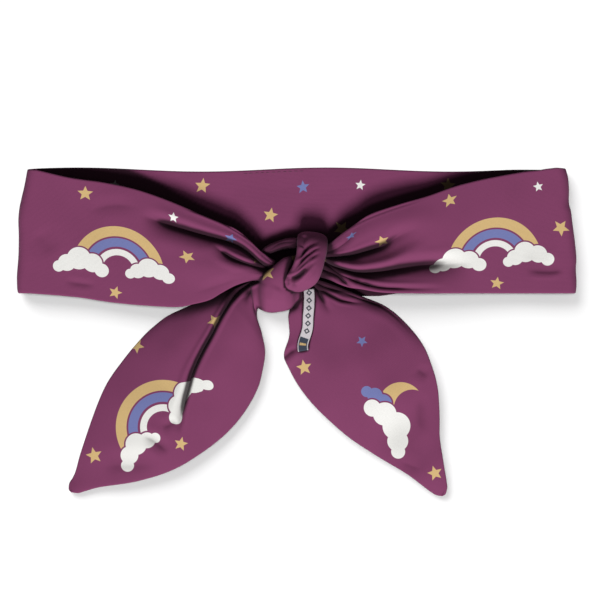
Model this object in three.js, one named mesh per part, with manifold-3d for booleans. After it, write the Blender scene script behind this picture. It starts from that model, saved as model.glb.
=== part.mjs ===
// Knotted tie headband: a loop of doubled jersey, tied at the front in a knot with two pointed
// tails, and lying flat on its back band.
//
// Millimetres, +Z up. The origin is on the underside of the back band, below its middle. +X runs
// along the band to the right, and +Y across it to its upper edge.
//
// Each cloth wall is a grid over a curved surface, given half its thickness to each side. Where one
// piece tucks under another, the lower one is cut by a slightly larger copy of the upper one, so
// that they nest with a small gap.

import * as THREE from 'three';
import { mergeVertices } from 'three/addons/utils/BufferGeometryUtils.js';
import Module from 'manifold-3d';

const wasm = await Module();
wasm.setup();

// Cloth and clearances
const CLOTH = 1.2; // doubled jersey, both layers together
const LABEL_CLOTH = 1.0; // woven ribbon, folded double
const CLEAR = 0.35; // gap between pieces that touch on the real thing

// The loop
const BAND_WIDTH = 56.5;
const LOOP_SPAN = 249.6; // from fold to fold, as it lies
const LOOP_GAP = 6.4; // free height between the front and the back layer
const FOLD_TAPER = 4.3; // how much further out each fold reaches at the lower edge
const EDGE_WAVE = 0.9; // height of the long waves in the back band's edge
const WAVE_PITCH = 111;
const WAVE_START = 13;
const CROWN = 3.4; // how much the front layer arches across its width beside the knot
const GATHER_RISE = 2.6; // how much the front layer climbs on its way to the knot

// The knot
const KNOT_X = 1.3;
const KNOT_DROP = 16.7; // below the middle of the band
const KNOT_WIDTH = 30.7;
const KNOT_LENGTH = 36.2;
const KNOT_RISE = 20.2; // its top, above the surface that the band lies on

// The tails
const TAIL_WIDTH = 56.5;
const LEFT_LENGTH = 122;
const RIGHT_LENGTH = 110;
const LEFT_ANGLE = 226.6; // degrees, anticlockwise from +X
const RIGHT_ANGLE = 302.5;
const TAIL_LIFT = 3.6; // height of a tail's root
const LEFT_DOME = 4.6; // how far the soft middle of a tail stands off the surface
const RIGHT_DOME = 3.4;

// The label
const LABEL_WIDTH = 4.7;

// Front layer, one row for each point of an edge. along: 0 at the fold, 1 in the knot. across: of
// half the band's width, up from its middle.
const LEFT_TOP = [
  { along: 0.0, across: 0.985 },
  { along: 0.14, across: 0.863 },
  { along: 0.28, across: 0.788 },
  { along: 0.41, across: 0.683 },
  { along: 0.51, across: 0.56 },
  { along: 0.61, across: 0.41 },
  { along: 0.7, across: 0.255 },
  { along: 0.785, across: 0.125 },
  { along: 0.83, across: 0.06 },
  { along: 0.88, across: -0.085 },
  { along: 0.94, across: -0.305 },
  { along: 1.0, across: -0.45 },
];
const LEFT_BOTTOM = [
  { along: 0.0, across: -0.955 },
  { along: 0.21, across: -1.02 },
  { along: 0.34, across: -1.095 },
  { along: 0.49, across: -1.15 },
  { along: 0.635, across: -1.17 },
  { along: 0.69, across: -1.13 },
  { along: 0.76, across: -1.06 },
  { along: 0.81, across: -0.95 },
  { along: 0.87, across: -0.83 },
  { along: 0.935, across: -0.76 },
  { along: 1.0, across: -0.765 },
];
const RIGHT_TOP = [
  { along: 0.0, across: 0.995 },
  { along: 0.07, across: 0.972 },
  { along: 0.23, across: 0.894 },
  { along: 0.33, across: 0.817 },
  { along: 0.425, across: 0.723 },
  { along: 0.54, across: 0.57 },
  { along: 0.655, across: 0.444 },
  { along: 0.785, across: 0.272 },
  { along: 0.84, across: 0.132 },
  { along: 0.89, across: -0.008 },
  { along: 0.965, across: -0.225 },
  { along: 1.0, across: -0.29 },
];
const RIGHT_BOTTOM = [
  { along: 0.0, across: -0.958 },
  { along: 0.39, across: -0.958 },
  { along: 0.625, across: -0.958 },
  { along: 0.72, across: -0.942 },
  { along: 0.82, across: -0.879 },
  { along: 0.91, across: -0.725 },
  { along: 0.975, across: -0.6 },
  { along: 1.0, across: -0.575 },
];

// Where the corners of the front layer end inside the knot, as shares of the knot's width and
// length from its middle
const ENTRY = {
  left: { top: { right: -0.35, up: 0.11 }, bottom: { right: -0.465, up: -0.135 } },
  right: { top: { right: 0.245, up: 0.235 }, bottom: { right: 0.19, up: 0.01 } },
};

// Folds that run along a piece, one row each. start and end: how far along the piece. a, b, c, d:
// its place across the piece at four even steps, 0 at the lower or inner edge, 1 at the other.
// deep: of the cloth's thickness, below zero for a valley. wide: of the piece's full width.
const LEFT_FOLDS = [
  { start: 0.46, end: 1, a: 0.78, b: 0.77, c: 0.765, d: 0.66, deep: -2.6, wide: 0.08 },
  { start: 0.74, end: 1, a: 0.72, b: 0.62, c: 0.555, d: 0.48, deep: -1.9, wide: 0.06 },
  { start: 0.6, end: 1, a: 0.9, b: 0.88, c: 0.86, d: 0.84, deep: 1.0, wide: 0.08 },
  { start: 0.55, end: 1, a: 0.3, b: 0.3, c: 0.28, d: 0.26, deep: 1.5, wide: 0.16 },
];
const RIGHT_FOLDS = [
  { start: 0.58, end: 1, a: 0.7, b: 0.5, c: 0.45, d: 0.57, deep: -2.2, wide: 0.075 },
  { start: 0.52, end: 1, a: 0.56, b: 0.39, c: 0.33, d: 0.5, deep: 1.6, wide: 0.08 },
  { start: 0.44, end: 1, a: 0.26, b: 0.27, c: 0.24, d: 0.42, deep: -2.9, wide: 0.085 },
  { start: 0.42, end: 1, a: 0.13, b: 0.15, c: 0.16, d: 0.34, deep: 1.3, wide: 0.08 },
  { start: 0.6, end: 1, a: 0.82, b: 0.78, c: 0.76, d: 0.78, deep: 1.4, wide: 0.12 },
];
const LEFT_TAIL_FOLDS = [
  { start: 0, end: 0.62, a: 0.97, b: 0.68, c: 0.5, d: 0.2, deep: -3.0, wide: 0.13 },
  { start: 0.02, end: 0.6, a: 0.99, b: 0.84, c: 0.68, d: 0.44, deep: 1.5, wide: 0.12 },
];
const RIGHT_TAIL_FOLDS = [
  { start: 0.03, end: 0.38, a: 0.76, b: 0.82, c: 0.9, d: 0.96, deep: 1.2, wide: 0.09 },
  { start: 0.02, end: 0.24, a: 0.62, b: 0.6, c: 0.57, d: 0.56, deep: -1.2, wide: 0.09 },
  { start: 0.5, end: 0.75, a: 0.87, b: 0.85, c: 0.83, d: 0.8, deep: -0.8, wide: 0.1 },
];

// Tail edges, one row for each point. along: of the tail's length from its root. out: of the tail's
// width, away from its middle line.
const LEFT_TAIL_OUTER = [
  { along: -0.046, out: -0.025 },
  { along: -0.04, out: 0.059 },
  { along: 0.042, out: 0.153 },
  { along: 0.128, out: 0.247 },
  { along: 0.216, out: 0.333 },
  { along: 0.29, out: 0.394 },
  { along: 0.355, out: 0.415 },
  { along: 0.42, out: 0.419 },
  { along: 0.51, out: 0.407 },
  { along: 0.63, out: 0.365 },
  { along: 0.867, out: 0.148 },
  { along: 0.939, out: 0.068 },
  { along: 0.987, out: 0.037 },
  { along: 0.997, out: 0.012 },
];
const LEFT_TAIL_INNER = [
  { along: 0.004, out: 0.105 },
  { along: 0.035, out: 0.095 },
  { along: 0.07, out: 0.13 },
  { along: 0.095, out: 0.23 },
  { along: 0.137, out: 0.362 },
  { along: 0.196, out: 0.454 },
  { along: 0.2525, out: 0.519 },
  { along: 0.352, out: 0.573 },
  { along: 0.447, out: 0.583 },
  { along: 0.553, out: 0.552 },
  { along: 0.678, out: 0.476 },
  { along: 0.8, out: 0.332 },
  { along: 0.918, out: 0.138 },
  { along: 0.987, out: 0.046 },
  { along: 0.997, out: 0.012 },
];
const RIGHT_TAIL_OUTER = [
  { along: -0.022, out: 0.065 },
  { along: 0.006, out: 0.114 },
  { along: 0.078, out: 0.218 },
  { along: 0.141, out: 0.304 },
  { along: 0.225, out: 0.416 },
  { along: 0.333, out: 0.478 },
  { along: 0.434, out: 0.498 },
  { along: 0.518, out: 0.472 },
  { along: 0.609, out: 0.418 },
  { along: 0.704, out: 0.32 },
  { along: 0.79, out: 0.217 },
  { along: 0.88, out: 0.139 },
  { along: 0.984, out: 0.045 },
  { along: 0.997, out: 0.012 },
];
const RIGHT_TAIL_INNER = [
  { along: -0.009, out: 0.1 },
  { along: 0.0, out: 0.149 },
  { along: 0.033, out: 0.256 },
  { along: 0.115, out: 0.354 },
  { along: 0.17, out: 0.474 },
  { along: 0.218, out: 0.492 },
  { along: 0.3, out: 0.504 },
  { along: 0.394, out: 0.488 },
  { along: 0.495, out: 0.444 },
  { along: 0.595, out: 0.384 },
  { along: 0.707, out: 0.288 },
  { along: 0.844, out: 0.156 },
  { along: 0.98, out: 0.049 },
  { along: 0.997, out: 0.012 },
];

// Where the tails' middle lines leave the knot, as shares of its width and length
const LEFT_ROOT = { right: -0.62, up: -0.283 };
const RIGHT_ROOT = { right: 0.174, up: -0.22 };

// Strands of the knot, one row for each section. right, up and high: of the knot's width, length
// and rise. wide and thick: of its width and rise.
const WRAP = [
  { right: 0.2, up: 0.34, high: 0.21, wide: 0.36, thick: 0.24 },
  { right: 0.2, up: 0.385, high: 0.36, wide: 0.39, thick: 0.29 },
  { right: 0.195, up: 0.395, high: 0.53, wide: 0.4, thick: 0.31 },
  { right: 0.19, up: 0.35, high: 0.69, wide: 0.41, thick: 0.32 },
  { right: 0.165, up: 0.25, high: 0.79, wide: 0.4, thick: 0.33 },
  { right: 0.12, up: 0.12, high: 0.83, wide: 0.4, thick: 0.34 },
  { right: 0.065, up: -0.01, high: 0.8, wide: 0.41, thick: 0.34 },
  { right: 0.015, up: -0.135, high: 0.69, wide: 0.44, thick: 0.33 },
  { right: -0.03, up: -0.22, high: 0.52, wide: 0.44, thick: 0.31 },
  { right: -0.02, up: -0.235, high: 0.36, wide: 0.38, thick: 0.28 },
  { right: 0.01, up: -0.18, high: 0.25, wide: 0.28, thick: 0.22 },
];
const CROSS = [
  { right: 0.26, up: 0.1, high: 0.46, wide: 0.2, thick: 0.26 },
  { right: 0.06, up: 0.06, high: 0.5, wide: 0.26, thick: 0.34 },
  { right: -0.145, up: 0.02, high: 0.52, wide: 0.31, thick: 0.4 },
  { right: -0.28, up: -0.07, high: 0.52, wide: 0.4, thick: 0.41 },
  { right: -0.37, up: -0.19, high: 0.5, wide: 0.45, thick: 0.41 },
  { right: -0.405, up: -0.315, high: 0.44, wide: 0.45, thick: 0.4 },
  { right: -0.405, up: -0.395, high: 0.36, wide: 0.39, thick: 0.34 },
  { right: -0.4, up: -0.46, high: 0.27, wide: 0.27, thick: 0.22 },
];
const BACK_ROLL = [
  { right: -0.49, up: 0.135, high: 0.31, wide: 0.14, thick: 0.24 },
  { right: -0.42, up: 0.24, high: 0.32, wide: 0.17, thick: 0.32 },
  { right: -0.245, up: 0.295, high: 0.33, wide: 0.2, thick: 0.36 },
  { right: -0.06, up: 0.325, high: 0.34, wide: 0.19, thick: 0.36 },
  { right: 0.07, up: 0.33, high: 0.34, wide: 0.16, thick: 0.3 },
];
// Creases over a strand. The columns are those of the folds above, but a to d run from -1 at one
// side of the strand's outer face to 1 at the other, and wide is a share of the strand's width.
const WRAP_CREASES = [
  { start: 0.3, end: 0.62, a: 0.1, b: -0.25, c: -0.6, d: -0.9, deep: -0.9, wide: 0.1 },
  { start: 0.45, end: 0.75, a: 0.05, b: -0.3, c: -0.6, d: -0.95, deep: -0.7, wide: 0.09 },
];
const CROSS_CREASES = [
  { start: 0.3, end: 0.85, a: 0.35, b: 0.4, c: 0.45, d: 0.55, deep: -0.6, wide: 0.12 },
];
const WRAP_ACROSS = new THREE.Vector3(0.942, -0.335, 0); // the wrap's width lies along this

// The label lies on the right tail, one row for each point of its middle line, as shares along and
// across the tail
const LABEL_LINE = [
  { along: 0.02, across: 0.49 },
  { along: 0.06, across: 0.45 },
  { along: 0.09, across: 0.4 },
  { along: 0.145, across: 0.285 },
  { along: 0.2, across: 0.235 },
  { along: 0.255, across: 0.183 },
];

// Grid sizes
const PANEL_STEPS = 26;
const FOLD_STEPS = 6;
const BACK_STEPS = 6;
const ACROSS_STEPS = 18;
const TAIL_STEPS = 26;
const TAIL_ACROSS = 14;
const STRAND_STEPS = 18;
const STRAND_SIDES = 14;
const LABEL_STEPS = 12;

const COLOURS = { plum: 0x824065, ribbon: 0xd7d0d6 };

const halfWidth = BAND_WIDTH / 2;
const halfSpan = LOOP_SPAN / 2;
const foldRadius = (LOOP_GAP + CLOTH) / 2;
const backLevel = CLOTH / 2;
const frontLevel = backLevel + 2 * foldRadius;

const lerp = THREE.MathUtils.lerp;
const smooth = (value, from, to) => THREE.MathUtils.smoothstep(value, from, to);

// A place in the knot, from shares of its width and length
function knotPlace(right, up) {
  return { x: KNOT_X + right * KNOT_WIDTH, y: -KNOT_DROP + up * KNOT_LENGTH };
}

// The cubic that passes through a, b, c and d at four even steps
function throughFour(row, share) {
  const t = 3 * share;
  const first = (t - 1) * (t - 2) * (t - 3) / -6;
  const second = t * (t - 2) * (t - 3) / 2;
  const third = t * (t - 1) * (t - 3) / -2;
  const fourth = t * (t - 1) * (t - 2) / 6;
  return row.a * first + row.b * second + row.c * third + row.d * fourth;
}

// Height that the folds add at a point, for a piece that is local wide there and full wide at most.
// No fold is sharper than the cloth can turn.
function foldHeight(folds, along, across, local, full) {
  let height = 0;
  for (const fold of folds) {
    if (along <= fold.start || along >= fold.end + 0.001) continue;
    const share = Math.min(1, (along - fold.start) / (fold.end - fold.start));
    const reach = fold.wide * Math.sqrt(local * full);
    const distance = (across - throughFour(fold, share)) * local;
    const fadeOut = fold.end < 1 ? smooth(1 - share, 0, 0.45) : 1;
    const wanted = Math.abs(fold.deep) * CLOTH * smooth(share, 0, 0.5) * fadeOut;
    const deep = Math.min(wanted, reach * reach / (1.7 * CLOTH));
    height += Math.sign(fold.deep) * deep * Math.exp(-((distance / reach) ** 2));
  }
  return height;
}

// A closed solid from a grid of surface points, with half the thickness on each side. slant splits
// the grid's squares along their other diagonal, for a fold that runs that way.
function clothSolid(rows, thickness, slant = false) {
  const last = rows.length - 1;
  const wide = rows[0].length - 1;
  const faces = [[], []];
  for (let i = 0; i <= last; i += 1) {
    for (let j = 0; j <= wide; j += 1) {
      const alongRows = rows[Math.min(i + 1, last)][j].clone().sub(rows[Math.max(i - 1, 0)][j]);
      const acrossRow = rows[i][Math.min(j + 1, wide)].clone().sub(rows[i][Math.max(j - 1, 0)]);
      const normal = alongRows.cross(acrossRow).normalize();
      faces[0].push(rows[i][j].clone().addScaledVector(normal, thickness / 2));
      faces[1].push(rows[i][j].clone().addScaledVector(normal, -thickness / 2));
    }
  }
  const points = [...faces[0], ...faces[1]];
  const count = faces[0].length;
  const at = (i, j) => i * (wide + 1) + j;
  const index = [];
  const quad = (a, b, c, d) => index.push(a, b, c, a, c, d);
  for (let i = 0; i < last; i += 1) {
    for (let j = 0; j < wide; j += 1) {
      const corners = [at(i, j), at(i + 1, j), at(i + 1, j + 1), at(i, j + 1)];
      if (slant) corners.push(corners.shift());
      quad(...corners);
      const [a, b, c, d] = corners.map((corner) => count + corner);
      quad(a, d, c, b);
    }
  }
  for (let i = 0; i < last; i += 1) {
    quad(at(i, 0), count + at(i, 0), count + at(i + 1, 0), at(i + 1, 0));
    quad(at(i, wide), at(i + 1, wide), count + at(i + 1, wide), count + at(i, wide));
  }
  for (let j = 0; j < wide; j += 1) {
    quad(at(0, j), at(0, j + 1), count + at(0, j + 1), count + at(0, j));
    quad(at(last, j), count + at(last, j), count + at(last, j + 1), at(last, j + 1));
  }
  return toSolid(points, index);
}

function toSolid(points, index) {
  const geometry = new THREE.BufferGeometry().setFromPoints(points);
  geometry.setIndex(index);
  const merged = mergeVertices(geometry, 1e-4);
  const mesh = new wasm.Mesh({
    numProp: 3,
    vertProperties: new Float32Array(merged.attributes.position.array),
    triVerts: new Uint32Array(merged.index.array),
  });
  return new wasm.Manifold(mesh);
}

// An edge of the front layer as a curve, from its fold into the knot
function panelEdge(rows, side, isTop) {
  const direction = side === 'left' ? -1 : 1;
  const start = direction * (foldReach(isTop ? 1 : 0) - foldRadius);
  const corner = ENTRY[side][isTop ? 'top' : 'bottom'];
  const end = knotPlace(corner.right, corner.up);
  const miss = end.y - rows.at(-1).across * halfWidth;
  const points = rows.map((row) => new THREE.Vector3(
    lerp(start, end.x, row.along),
    row.across * halfWidth + miss * row.along ** 2,
    0,
  ));
  return new THREE.CatmullRomCurve3(points, false, 'centripetal');
}

// How far from the middle a fold's bend reaches, from 0 at the lower edge to 1 at the upper
function foldReach(across) {
  return halfSpan - CLOTH / 2 - FOLD_TAPER * across ** 1.6;
}

function panelRows(side, top, bottom, folds) {
  const topEdge = panelEdge(top, side, true);
  const bottomEdge = panelEdge(bottom, side, false);
  const rows = [];
  for (let i = 0; i <= PANEL_STEPS; i += 1) {
    const along = 1 - (1 - i / PANEL_STEPS) ** 1.25;
    const upper = topEdge.getPointAt(along);
    const lower = bottomEdge.getPointAt(along);
    const local = upper.distanceTo(lower);
    const climb = GATHER_RISE * (smooth(along, 0.15, 0.8) - 1.25 * smooth(along, 0.86, 1));
    const arch = CROWN * smooth(along, 0.1, 0.8) * (1 - 0.5 * smooth(along, 0.85, 1));
    const row = [];
    for (let j = 0; j <= ACROSS_STEPS; j += 1) {
      const across = j / ACROSS_STEPS;
      const point = lower.clone().lerp(upper, across);
      const bowed = arch * (1 - (2 * across - 1) ** 2);
      point.z = frontLevel + climb + bowed + foldHeight(folds, along, across, local, BAND_WIDTH);
      row.push(point);
    }
    rows.push(row);
  }
  return rows;
}

function backPoint(x, across) {
  const wave = EDGE_WAVE * Math.cos((x - WAVE_START) * 2 * Math.PI / WAVE_PITCH);
  return new THREE.Vector3(x, lerp(-halfWidth, halfWidth + wave * across, across), backLevel);
}

// A fold's rows, from the front layer down and round to the back
function foldRows(direction, frontRow) {
  const rows = [];
  for (let i = 1; i < FOLD_STEPS; i += 1) {
    const turn = Math.PI * i / FOLD_STEPS;
    rows.push(frontRow.map((front, j) => {
      const across = j / ACROSS_STEPS;
      const inner = foldReach(across) - foldRadius;
      const back = backPoint(direction * inner, across);
      return new THREE.Vector3(
        direction * (inner + foldRadius * Math.sin(turn)),
        lerp(front.y, back.y, i / FOLD_STEPS),
        backLevel + foldRadius * (1 + Math.cos(turn)),
      );
    }));
  }
  return rows;
}

// The whole loop in one strip of rows: left front, left fold, back, right fold, right front
function bandSolid() {
  const left = panelRows('left', LEFT_TOP, LEFT_BOTTOM, LEFT_FOLDS);
  const right = panelRows('right', RIGHT_TOP, RIGHT_BOTTOM, RIGHT_FOLDS);
  const back = [];
  for (let i = 0; i <= BACK_STEPS; i += 1) {
    const row = [];
    for (let j = 0; j <= ACROSS_STEPS; j += 1) {
      const across = j / ACROSS_STEPS;
      const inner = foldReach(across) - foldRadius;
      row.push(backPoint(lerp(-inner, inner, i / BACK_STEPS), across));
    }
    back.push(row);
  }
  return clothSolid([
    ...left.slice().reverse(),
    ...foldRows(-1, left[0]),
    ...back,
    ...foldRows(1, right[0]).reverse(),
    ...right,
  ], CLOTH);
}

// A tail's surface as a function of the shares along it and across it
function tailSurface({ root, length, angle, outer, inner, folds, dome, turn }) {
  const start = knotPlace(root.right, root.up);
  const heading = THREE.MathUtils.degToRad(angle);
  const ahead = new THREE.Vector3(Math.cos(heading), Math.sin(heading), 0);
  const outward = new THREE.Vector3(-ahead.y, ahead.x, 0).multiplyScalar(turn);
  const edge = (rows, sign) => new THREE.CatmullRomCurve3(rows.map((row) => (
    new THREE.Vector3(start.x, start.y, 0)
      .addScaledVector(ahead, row.along * length)
      .addScaledVector(outward, sign * row.out * TAIL_WIDTH)
  )), false, 'centripetal');
  const outerEdge = edge(outer, 1);
  const innerEdge = edge(inner, -1);
  return (along, across) => {
    const far = outerEdge.getPointAt(along);
    const near = innerEdge.getPointAt(along);
    const local = far.distanceTo(near);
    const point = near.clone().lerp(far, across);
    const lift = TAIL_LIFT * (1 - smooth(along, 0.02, 0.42));
    const crown = dome * smooth(along, -0.1, 0.22) * (1 - 0.8 * smooth(along, 0.45, 0.95));
    const bowed = crown * (1 - (2 * across - 1) ** 2) * Math.min(1, 2 * local / TAIL_WIDTH);
    const folded = foldHeight(folds, along, across, local, TAIL_WIDTH);
    point.z = Math.max(backLevel, backLevel + lift + bowed + folded);
    return point;
  };
}

const leftTail = tailSurface({
  root: LEFT_ROOT, length: LEFT_LENGTH, angle: LEFT_ANGLE, outer: LEFT_TAIL_OUTER,
  inner: LEFT_TAIL_INNER, folds: LEFT_TAIL_FOLDS, dome: LEFT_DOME, turn: -1,
});
const rightTail = tailSurface({
  root: RIGHT_ROOT, length: RIGHT_LENGTH, angle: RIGHT_ANGLE, outer: RIGHT_TAIL_OUTER,
  inner: RIGHT_TAIL_INNER, folds: RIGHT_TAIL_FOLDS, dome: RIGHT_DOME, turn: 1,
});

function tailSolid(surface, slant) {
  const rows = [];
  for (let i = 0; i <= TAIL_STEPS; i += 1) {
    const row = [];
    for (let j = 0; j <= TAIL_ACROSS; j += 1) {
      row.push(surface(i / TAIL_STEPS, j / TAIL_ACROSS));
    }
    rows.push(row);
  }
  return clothSolid(rows, CLOTH, slant);
}

// A strand of gathered cloth: rounded sections along a curve. grow makes the larger copy that cuts
// its neighbours.
function strandSolid(table, creases, grow, fixedAcross) {
  const path = new THREE.CatmullRomCurve3(table.map((row) => {
    const place = knotPlace(row.right, row.up);
    return new THREE.Vector3(place.x, place.y, row.high * KNOT_RISE);
  }), false, 'centripetal');
  const sizes = new THREE.CatmullRomCurve3(table.map((row) => (
    new THREE.Vector3(row.wide * KNOT_WIDTH, row.thick * KNOT_RISE, 0)
  )));
  const points = [];
  for (let i = 0; i <= STRAND_STEPS; i += 1) {
    const along = i / STRAND_STEPS;
    const centre = path.getPoint(along);
    const tangent = path.getTangent(along);
    const size = sizes.getPoint(along);
    const across = fixedAcross
      ? fixedAcross.clone()
      : new THREE.Vector3(0, 0, 1).cross(tangent).normalize();
    const outward = tangent.clone().cross(across).normalize();
    for (let j = 0; j < STRAND_SIDES; j += 1) {
      const angle = 2 * Math.PI * j / STRAND_SIDES;
      const side = Math.sign(Math.cos(angle)) * Math.abs(Math.cos(angle)) ** 0.8;
      const top = Math.sign(Math.sin(angle)) * Math.abs(Math.sin(angle)) ** 0.8;
      const dent = top > 0 ? top * foldHeight(creases, along, side, size.x / 2, size.x * 2) : 0;
      points.push(centre.clone()
        .addScaledVector(across, side * (size.x / 2 + grow))
        .addScaledVector(outward, top * (size.y / 2 + grow) + dent));
    }
  }
  const index = [];
  for (let i = 0; i < STRAND_STEPS; i += 1) {
    for (let j = 0; j < STRAND_SIDES; j += 1) {
      const a = i * STRAND_SIDES + j;
      const b = i * STRAND_SIDES + (j + 1) % STRAND_SIDES;
      index.push(a, b, b + STRAND_SIDES, a, b + STRAND_SIDES, a + STRAND_SIDES);
    }
  }
  for (const [step, isEnd] of [[0, false], [STRAND_STEPS, true]]) {
    const along = step / STRAND_STEPS;
    const tip = points.length;
    const bulge = (isEnd ? 1 : -1) * (sizes.getPoint(along).y / 4 + grow);
    points.push(path.getPoint(along).addScaledVector(path.getTangent(along), bulge));
    for (let j = 0; j < STRAND_SIDES; j += 1) {
      const a = step * STRAND_SIDES + j;
      const b = step * STRAND_SIDES + (j + 1) % STRAND_SIDES;
      index.push(...(isEnd ? [tip, a, b] : [tip, b, a]));
    }
  }
  return toSolid(points, index);
}

function labelSolid() {
  const line = new THREE.CatmullRomCurve3(LABEL_LINE.map((row) => (
    new THREE.Vector3(row.along, row.across, 0)
  )));
  const lift = CLOTH / 2 + CLEAR + LABEL_CLOTH / 2;
  const centres = [];
  for (let i = 0; i <= LABEL_STEPS; i += 1) {
    const share = line.getPoint(i / LABEL_STEPS);
    centres.push(rightTail(share.x, share.y));
  }
  const rows = centres.map((centre, i) => {
    const ahead = centres[Math.min(i + 1, LABEL_STEPS)].clone().sub(centres[Math.max(i - 1, 0)]);
    const across = new THREE.Vector3(0, 0, 1).cross(ahead).normalize();
    return [-1, -0.33, 0.33, 1].map((side) => (
      centre.clone().addScaledVector(across, side * LABEL_WIDTH / 2).setZ(centre.z + lift)
    ));
  });
  return clothSolid(rows, LABEL_CLOTH);
}

// The largest single body of a solid that was cut
function mainBody(solid) {
  return solid.decompose().reduce((best, body) => (body.volume() > best.volume() ? body : best));
}

function addPiece(group, name, solid, colour, roughness) {
  const mesh = mainBody(solid).getMesh();
  const geometry = new THREE.BufferGeometry();
  geometry.setAttribute('position', new THREE.BufferAttribute(mesh.vertProperties, 3));
  geometry.setIndex(new THREE.BufferAttribute(mesh.triVerts, 1));
  geometry.computeVertexNormals();
  const material = new THREE.MeshStandardMaterial({ color: colour, roughness, metalness: 0 });
  const piece = new THREE.Mesh(geometry, material);
  piece.name = name;
  group.add(piece);
}

const cross = strandSolid(CROSS, CROSS_CREASES, 0);
const crossRoom = strandSolid(CROSS, [], CLEAR);
const wrap = strandSolid(WRAP, WRAP_CREASES, 0, WRAP_ACROSS).subtract(crossRoom);
const wrapRoom = strandSolid(WRAP, [], CLEAR, WRAP_ACROSS);
const knotRoom = crossRoom.add(wrapRoom);
const roll = strandSolid(BACK_ROLL, [], 0).subtract(knotRoom);
const rollRoom = strandSolid(BACK_ROLL, [], CLEAR);

const headband = new THREE.Group();
addPiece(headband, 'knot_cross', cross, COLOURS.plum, 0.9);
addPiece(headband, 'knot_wrap', wrap, COLOURS.plum, 0.9);
addPiece(headband, 'knot_back', roll, COLOURS.plum, 0.9);
addPiece(headband, 'band', bandSolid().subtract(knotRoom).subtract(rollRoom), COLOURS.plum, 0.9);
addPiece(headband, 'tail_left', tailSolid(leftTail, true).subtract(knotRoom), COLOURS.plum, 0.9);
addPiece(headband, 'tail_right', tailSolid(rightTail, false).subtract(knotRoom), COLOURS.plum, 0.9);
addPiece(headband, 'label', labelSolid().subtract(knotRoom), COLOURS.ribbon, 0.8);

export default headband;
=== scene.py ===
# %% [markdown]
# # A knotted jersey headband
#
# The real thing is one long strip of thin cotton jersey, sewn into a flat tube and tied at the
# front. Laid on a table it shows a straight back band, a front band that is gathered towards the
# knot from both sides, the knot, and two leaf-shaped tails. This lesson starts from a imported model
# of plain solids, which fixes every size and place, and dresses it piece by piece.

# %% Load the frame
import math

import bpy
import numpy as np
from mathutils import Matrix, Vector
from mathutils.bvhtree import BVHTree


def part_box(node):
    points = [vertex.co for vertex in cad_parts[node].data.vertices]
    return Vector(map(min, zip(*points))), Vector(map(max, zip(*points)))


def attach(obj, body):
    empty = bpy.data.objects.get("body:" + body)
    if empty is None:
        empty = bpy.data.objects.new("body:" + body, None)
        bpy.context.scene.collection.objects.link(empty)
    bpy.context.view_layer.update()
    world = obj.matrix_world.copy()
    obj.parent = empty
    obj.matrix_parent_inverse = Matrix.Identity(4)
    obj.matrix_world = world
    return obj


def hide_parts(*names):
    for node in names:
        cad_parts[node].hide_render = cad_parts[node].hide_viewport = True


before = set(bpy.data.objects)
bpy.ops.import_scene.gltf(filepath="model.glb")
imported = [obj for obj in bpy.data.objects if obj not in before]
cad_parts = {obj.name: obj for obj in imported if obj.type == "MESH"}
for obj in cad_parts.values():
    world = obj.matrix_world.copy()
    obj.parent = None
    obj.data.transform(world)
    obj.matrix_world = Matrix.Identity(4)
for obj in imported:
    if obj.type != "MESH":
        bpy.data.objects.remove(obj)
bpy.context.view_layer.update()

# %% [markdown]
# ## Sizes
#
# The sizes are in millimetres, because cloth is easier to think of that way, and they become
# metres only when a mesh is made. What the frame can say is read from it: the band's half span and
# the height of the knot come from the boxes of its nodes. The wrap's rounded solid ends a tenth of
# a millimetre below the rise that its sections are measured by.

# %% Sizes
MM = 0.001
band_low, band_high = (np.array(corner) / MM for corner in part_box("band"))
wrap_high = np.array(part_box("knot_wrap")[1]) / MM

CLOTH = 1.2
BAND_WIDTH = 56.5
HALF_SPAN = (band_high[0] - band_low[0]) / 2
LOOP_GAP = 6.4
KNOT_X, KNOT_DROP = 1.3, 16.7
KNOT_WIDTH, KNOT_LENGTH = 30.7, 36.2
KNOT_RISE = wrap_high[2] + 0.1
FOLD_RADIUS = (LOOP_GAP + CLOTH) / 2
BACK_LEVEL = CLOTH / 2
FRONT_LEVEL = BACK_LEVEL + 2 * FOLD_RADIUS
print("half span", round(HALF_SPAN, 1), "knot rise", round(KNOT_RISE, 1))

# %% [markdown]
# ## Curves and shares
#
# Every edge of the cloth is a short table of points, given as shares of the sizes above. A smooth
# curve goes through them. Blender's own curves could do this, but the surfaces between two edges
# are needed as numbers, so a small numpy helper is simpler. It returns a function that walks the
# curve at an even pace.


# %% A smooth curve through points
def bridge(first, last, leaving, arriving, t):
    """Values between two others, for given slopes at both, at shares t of the way."""
    return (
        (2 * t**3 - 3 * t**2 + 1) * first + (t**3 - 2 * t**2 + t) * leaving
        + (3 * t**2 - 2 * t**3) * last + (t**3 - t**2) * arriving
    )


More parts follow.
